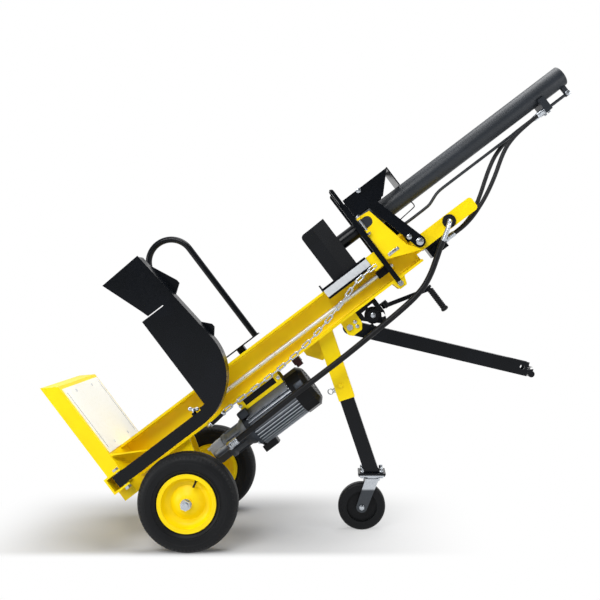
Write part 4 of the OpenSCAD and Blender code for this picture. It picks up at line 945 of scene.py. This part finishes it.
# %% The wire stay and the cheek strips
STAY_LINE = ((1645, 79), (1647, 66), (1645, 57), (1638, 53), (1600, 49.5), (1561, 46), (1543, 44))
stay = draw_tube("wire_stay", smooth_route([(up, -8, out) for up, out in STAY_LINE], 5), 2.4, 3)
fit(stay, "mast", BLACK_COAT, 60)
STRIP_UP, STRIP_ACROSS, STRIP_OUT = 1452, 86.2, -43
strip = cube((54, 13, 2.4))
round_edges(0.6, 2)
strips = []
for side, way in SIDES:
    along = Matrix((UP_MAST, way.cross(UP_MAST), way)).transposed().to_4x4()
    middle = Matrix.Translation(on_mast(STRIP_UP, side * STRIP_ACROSS, STRIP_OUT))
    strips.append(copy_at(strip, middle @ along))
    for up in (STRIP_UP - 19, STRIP_UP + 19):
        head = facing(on_mast(up, side * (STRIP_ACROSS + 1), STRIP_OUT), way)
        strips.append(copy_at(screw_m8, head @ Matrix.Scale(0.6, 4)))
discard(strip)
fit(join(strips, "cheek_strips"), "mast", ZINC)

# %% [markdown]
# ## Box over the motor
# Between the two rails that carry the motor sits a black moulded box, which darkens what shows through the
# slots of the rails. A cube's long sides are inset and pushed in as the lid's panels, and its edges are
# bevelled.

# %% Model the black box between the rails
rail_box = cube((172, 88, 31))
edit_parts(rail_box, lambda face: abs(face.normal.y) > 0.9)
bpy.ops.mesh.inset(thickness=5 * MM, depth=-2 * MM, use_individual=True)
round_edges(1.4, 2)
carry(rail_box, MAST_PLACE @ Matrix.Translation(Vector((MOTOR_UP, 0, -171.5)) * MM))
rail_box.name = "motor_rail_box"
fit(rail_box, "mast", MOULDED_ABS)

# %% [markdown]
# ## Castings on the motor
# A black casting grips the near rail and the motor's flange. The fins stop at a smooth flat under each rail,
# where the motor's feet are cast on, and the fan cover has a small square boss on its near side. Each is a
# bevelled block. The flats and the boss are turned about the motor's axis.

# %% Model the rail clamp, the flats and the boss
CLAMP_AT = (547, -66, -205)
FLAT_UP, FLAT_TURNS, FLAT_REACH = 657, (-46, 46), 88
BOSS_UP, BOSS_TURN, BOSS_REACH = 806, 72, 95


def casting(name, size, edge, place):
    """A bevelled block of this size in millimetres, at a place in the mast's frame."""
    block = cube(size)
    round_edges(edge, 3)
    carry(block, MAST_PLACE @ place)
    block.name = name
    return block


def about_motor(up, turn, reach):
    """A place at this reach from the motor's axis, turned from the mast's front towards the near side."""
    axis = Matrix.Translation(Vector((up, 0, MOTOR_OUT)) * MM)
    return axis @ Matrix.Rotation(radians(turn), 4, "X") @ Matrix.Translation((0, 0, reach * MM))


mouth = Matrix.Translation(Vector(CLAMP_AT) * MM)
fit(casting("motor_rail_clamp", (46, 40, 36), 7, mouth), "mast", BLACK_CASTING, 40)
flats = [casting("flat", (208, 46, 9), 2, about_motor(FLAT_UP, turn, FLAT_REACH)) for turn in FLAT_TURNS]
fit(join(flats, "motor_flats"), "mast", DARK_CASTING, 40)
boss = casting("fan_cover_boss", (40, 36, 10), 4, about_motor(BOSS_UP, BOSS_TURN, BOSS_REACH))
fit(boss, "mast", BLACK_CASTING, 40)

# %% [markdown]
# ## The chain's sleeved end
# Below its keeper the chain runs on in a black rubber sleeve, clamped at both ends, to an eye in the edge of
# the mast's flange. The sleeve is a tube along its path and the clamps are turned.

# %% Model the sleeve, its clamps and its eye
SLEEVE_LINE = ((502, -125, -149), (480, -125, -152), (450, -125, -155), (424, -125, -156))
EYE_LINE = ((424, -125, -156), (414, -121, -156), (410, -108, -153), (410, -74, -146))
sleeve = draw_tube("chain_sleeve", smooth_route(SLEEVE_LINE, 6), 8, 5)
fit(sleeve, "mast", HOSE_RUBBER, 60)
clamp = turned("clamp_form", [(8.2, 0), (10, 0), (10.4, 1), (10.4, 9), (10, 10), (8.2, 10), (8.2, 0)], 28)
clamps = []
for at, on in ((0, 1), (-1, -2)):
    end = on_mast(*SLEEVE_LINE[at])
    clamps.append(copy_at(clamp, facing(end, on_mast(*SLEEVE_LINE[on]) - end)))
discard(clamp)
clamps.append(draw_tube("chain_eye", smooth_route(EYE_LINE, 6), 4, 4))
fit(join(clamps, "chain_sleeve_clamps"), "mast", ZINC, 50)

# %% [markdown]
# ## The castor's plate
# The castor is bolted under the leg's foot by a zinc plate with a pressed swivel ring below it, and four bolts
# with tall nuts. The plate is a cube with its corners rounded in edit mode, the ring is turned, and the bolts
# are hexagons.

# %% Model the castor's plate and ring
CASTOR_X, PLATE_MID, RING_FOOT = 0.2358, 234.6, 220


def at_castor(x, y, z):
    """A place about the castor's swivel axis, in millimetres and above the floor."""
    return Matrix.Translation(Vector((CASTOR_X + x * MM, y * MM, z * MM)))


def upright(edge):
    a, b = (castor_plate.data.vertices[k].co for k in edge.vertices)
    return abs(a.z - b.z) > 5 * MM


castor_plate = cube((112, 96, 6.8))
edit_parts(castor_plate, upright, "EDGE")
bpy.ops.mesh.bevel(offset=9 * MM, segments=5, affect="EDGES")
bpy.ops.mesh.select_all(action="DESELECT")
bpy.ops.mesh.edges_select_sharp(sharpness=radians(60))
bpy.ops.mesh.bevel(offset=0.8 * MM, segments=2, affect="EDGES")
edit_mode(False)
carry(castor_plate, at_castor(0, 0, PLATE_MID))
ring = turned("swivel_ring", [(30, 0.2), (33, 0.2), (34.8, 2), (34.8, 8), (38, 12), (30, 12), (30, 0.2)], 40)
carry(ring, at_castor(0, 0, RING_FOOT))
print("castor plate:", len(castor_plate.data.polygons), "faces, ring:", len(ring.data.polygons))

# %% Bolt the plate to the leg's foot
# For each hexagon of a bolt: where it starts, where it ends, and its reach to a corner.
BOLT_HEXAGONS = ((224.4, 231.4, 9.6), (246, 256, 9.6), (255.8, 263.8, 8.2))
castor_bolts = [
    carry(rounded_cylinder(6, reach, low, high, 0.8, 1), at_castor(x, y, 0))
    for x in (-40, 40)
    for y in (-34, 34)
    for low, high, reach in BOLT_HEXAGONS
]
fit(join([castor_plate, ring] + castor_bolts, "castor_plate"), "leg", ZINC)

# %% [markdown]
# ## The last nuts and studs
# The castor's wheel turns on a bolt through the fork, and its bright nuts stand out against the fork's lower
# half, which carries a painted dark reflection.
# The leg slides in a yellow sleeve, and a painted stud with its nut shows on the sleeve's near and far faces.

# %% Set the castor's axle nuts
TRAIL, AXLE_HIGH, FORK_FACE = 42, 100, 31.8
axle_nut = hexagon_screw(20, 7.6, 11)
axle_nuts = []
for side, way in SIDES:
    place = at_castor(-TRAIL, side * FORK_FACE, AXLE_HIGH).translation
    axle_nuts.append(copy_at(axle_nut, facing(place, way)))
discard(axle_nut)
fit(join(axle_nuts, "castor_axle_nuts"), "caster", ZINC)

# %% Set the studs on the leg's sleeve
STUD_X, STUD_Z = 0.104, 0.612
SLEEVE_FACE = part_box("leg_sleeve")[1][1]
studs = [copy_at(screw_m10, facing(Vector((STUD_X, side * SLEEVE_FACE, STUD_Z)), way)) for side, way in SIDES]
fit(join(studs, "sleeve_studs"), "mast", YELLOW_COAT)
discard(screw_m10)
discard(screw_m8)

# %% [markdown]
# ## Floor and light
# The photograph is a studio cut-out: a white ground with a soft grey pool of shadow. The floor is pale and
# matt in that pool, and looks white to the camera away from the object. Large soft lamps in front, above and
# at both sides keep the black pieces readable by their edges.

# %% Pale floor
bpy.ops.mesh.primitive_plane_add(size=40, location=(0, 0, 0))
floor = bpy.context.active_object
floor.name = "floor"
floor_paint = bpy.data.materials.new("pale_studio_floor")
floor_paint.use_nodes = True
ground = floor_paint.node_tree
ground.nodes.clear()
ground_place = add_node(ground, "TexCoord").outputs["Object"]
ground_at = add_node(ground, "SeparateXYZ", {0: ground_place})
# Along each axis, in metres: where the floor is still white, and where the pool of painted shade is full.
POOL_EDGES = (("X", -1.5, -0.8), ("X", 0.72, -0.3), ("Y", 0.66, 0.28), ("Y", -0.36, -0.27))
pool = None
for axis, white_at, grey_at in POOL_EDGES:
    spread = {"Value": ground_at.outputs[axis], "From Min": white_at, "From Max": grey_at}
    fade = add_node(ground, "MapRange", spread, interpolation_type="SMOOTHSTEP").outputs["Result"]
    if pool is not None:
        fade = add_node(ground, "Math", {0: pool, 1: fade}, operation="MULTIPLY").outputs[0]
    pool = fade
white_part = add_node(ground, "Math", {0: 1.0, 1: pool}, operation="SUBTRACT").outputs[0]
rays = add_node(ground, "LightPath")
shown = rays.outputs["Is Camera Ray"]
for kind in ("Is Glossy Ray", "Is Transmission Ray"):
    pair = {0: shown, 1: rays.outputs[kind]}
    shown = add_node(ground, "Math", pair, operation="MAXIMUM").outputs[0]
share = add_node(ground, "Math", {0: white_part, 1: shown}, operation="MULTIPLY").outputs[0]
matt = add_node(ground, "BsdfDiffuse", {"Color": linear("#C6C6C6")})
white = add_node(ground, "Emission", {"Color": linear("#FFFFFF"), "Strength": 1.0})
floor_mix = add_node(ground, "MixShader", {0: share, 1: matt.outputs[0], 2: white.outputs[0]})
add_node(ground, "OutputMaterial", {"Surface": floor_mix.outputs[0]})
floor.data.materials.append(floor_paint)
print("floor:", floor_paint.name)

# %% [markdown]
# ## The studio
# Gloss shows the room. Behind the object the backdrop is white, and the room in front of it is darker, so
# the world that reflections see goes from white to grey along the room. The camera sees it white all over.

# %% The world
ROOM_DARK, ROOM_WHITE, ROOM_FADE = 0.12, 1.0, 0.5
WORLD_LIGHT = 0.36
world = bpy.data.worlds.new("studio")
bpy.context.scene.world = world
world.use_nodes = True
sky = world.node_tree
sky.nodes.clear()
rays = add_node(sky, "LightPath")
by_camera = rays.outputs["Is Camera Ray"]
shown = add_node(sky, "Math", {0: by_camera, 1: rays.outputs["Is Glossy Ray"]}, operation="MAXIMUM")
direction = add_node(sky, "TexCoord").outputs["Generated"]
heading = add_node(sky, "SeparateXYZ", {0: direction})
spread = {"From Min": -ROOM_FADE, "From Max": ROOM_FADE, "To Min": ROOM_DARK, "To Max": ROOM_WHITE}
spread["Value"] = heading.outputs["Y"]
room = add_node(sky, "MapRange", spread, interpolation_type="SMOOTHSTEP")
glow = add_node(sky, "Math", {0: by_camera, 1: room.outputs[0]}, operation="MAXIMUM")
seen = add_node(sky, "Background", {"Color": linear("#FFFFFF"), "Strength": glow.outputs[0]})
lit = add_node(sky, "Background", {"Color": linear("#F2F5FA"), "Strength": WORLD_LIGHT})
both = add_node(sky, "MixShader", {0: shown.outputs[0], 1: lit.outputs[0], 2: seen.outputs[0]})
add_node(sky, "OutputWorld", {"Surface": both.outputs[0]})
print("world:", world.name)

# %% The lamps
# For each lamp: its place, the height above the origin that it is aimed at, its size and its watts.
LAMPS = {
    "front_lamp": ((-1.4, -3.4, 3.6), 0.8, 2.2, 112),
    "low_fill": ((-4.0, -2.4, 0.9), 0.6, 2.2, 66),
    "top_lamp": ((0.4, 0.2, 4.6), 0.6, 2.6, 122),
    "side_lamp": ((3.4, -1.8, 2.0), 0.9, 1.8, 38),
}
for name, (place, aim, size, watts) in LAMPS.items():
    data = bpy.data.lights.new(name, "AREA")
    data.size = size
    data.energy = watts
    lamp = bpy.data.objects.new(name, data)
    lamp.location = place
    lamp.rotation_euler = (Vector((0, 0, aim)) - Vector(place)).to_track_quat("-Z", "Y").to_euler()
    add_to_scene(lamp)
bpy.context.scene.view_settings.view_transform = "Standard"
print("lamps:", ", ".join(LAMPS))
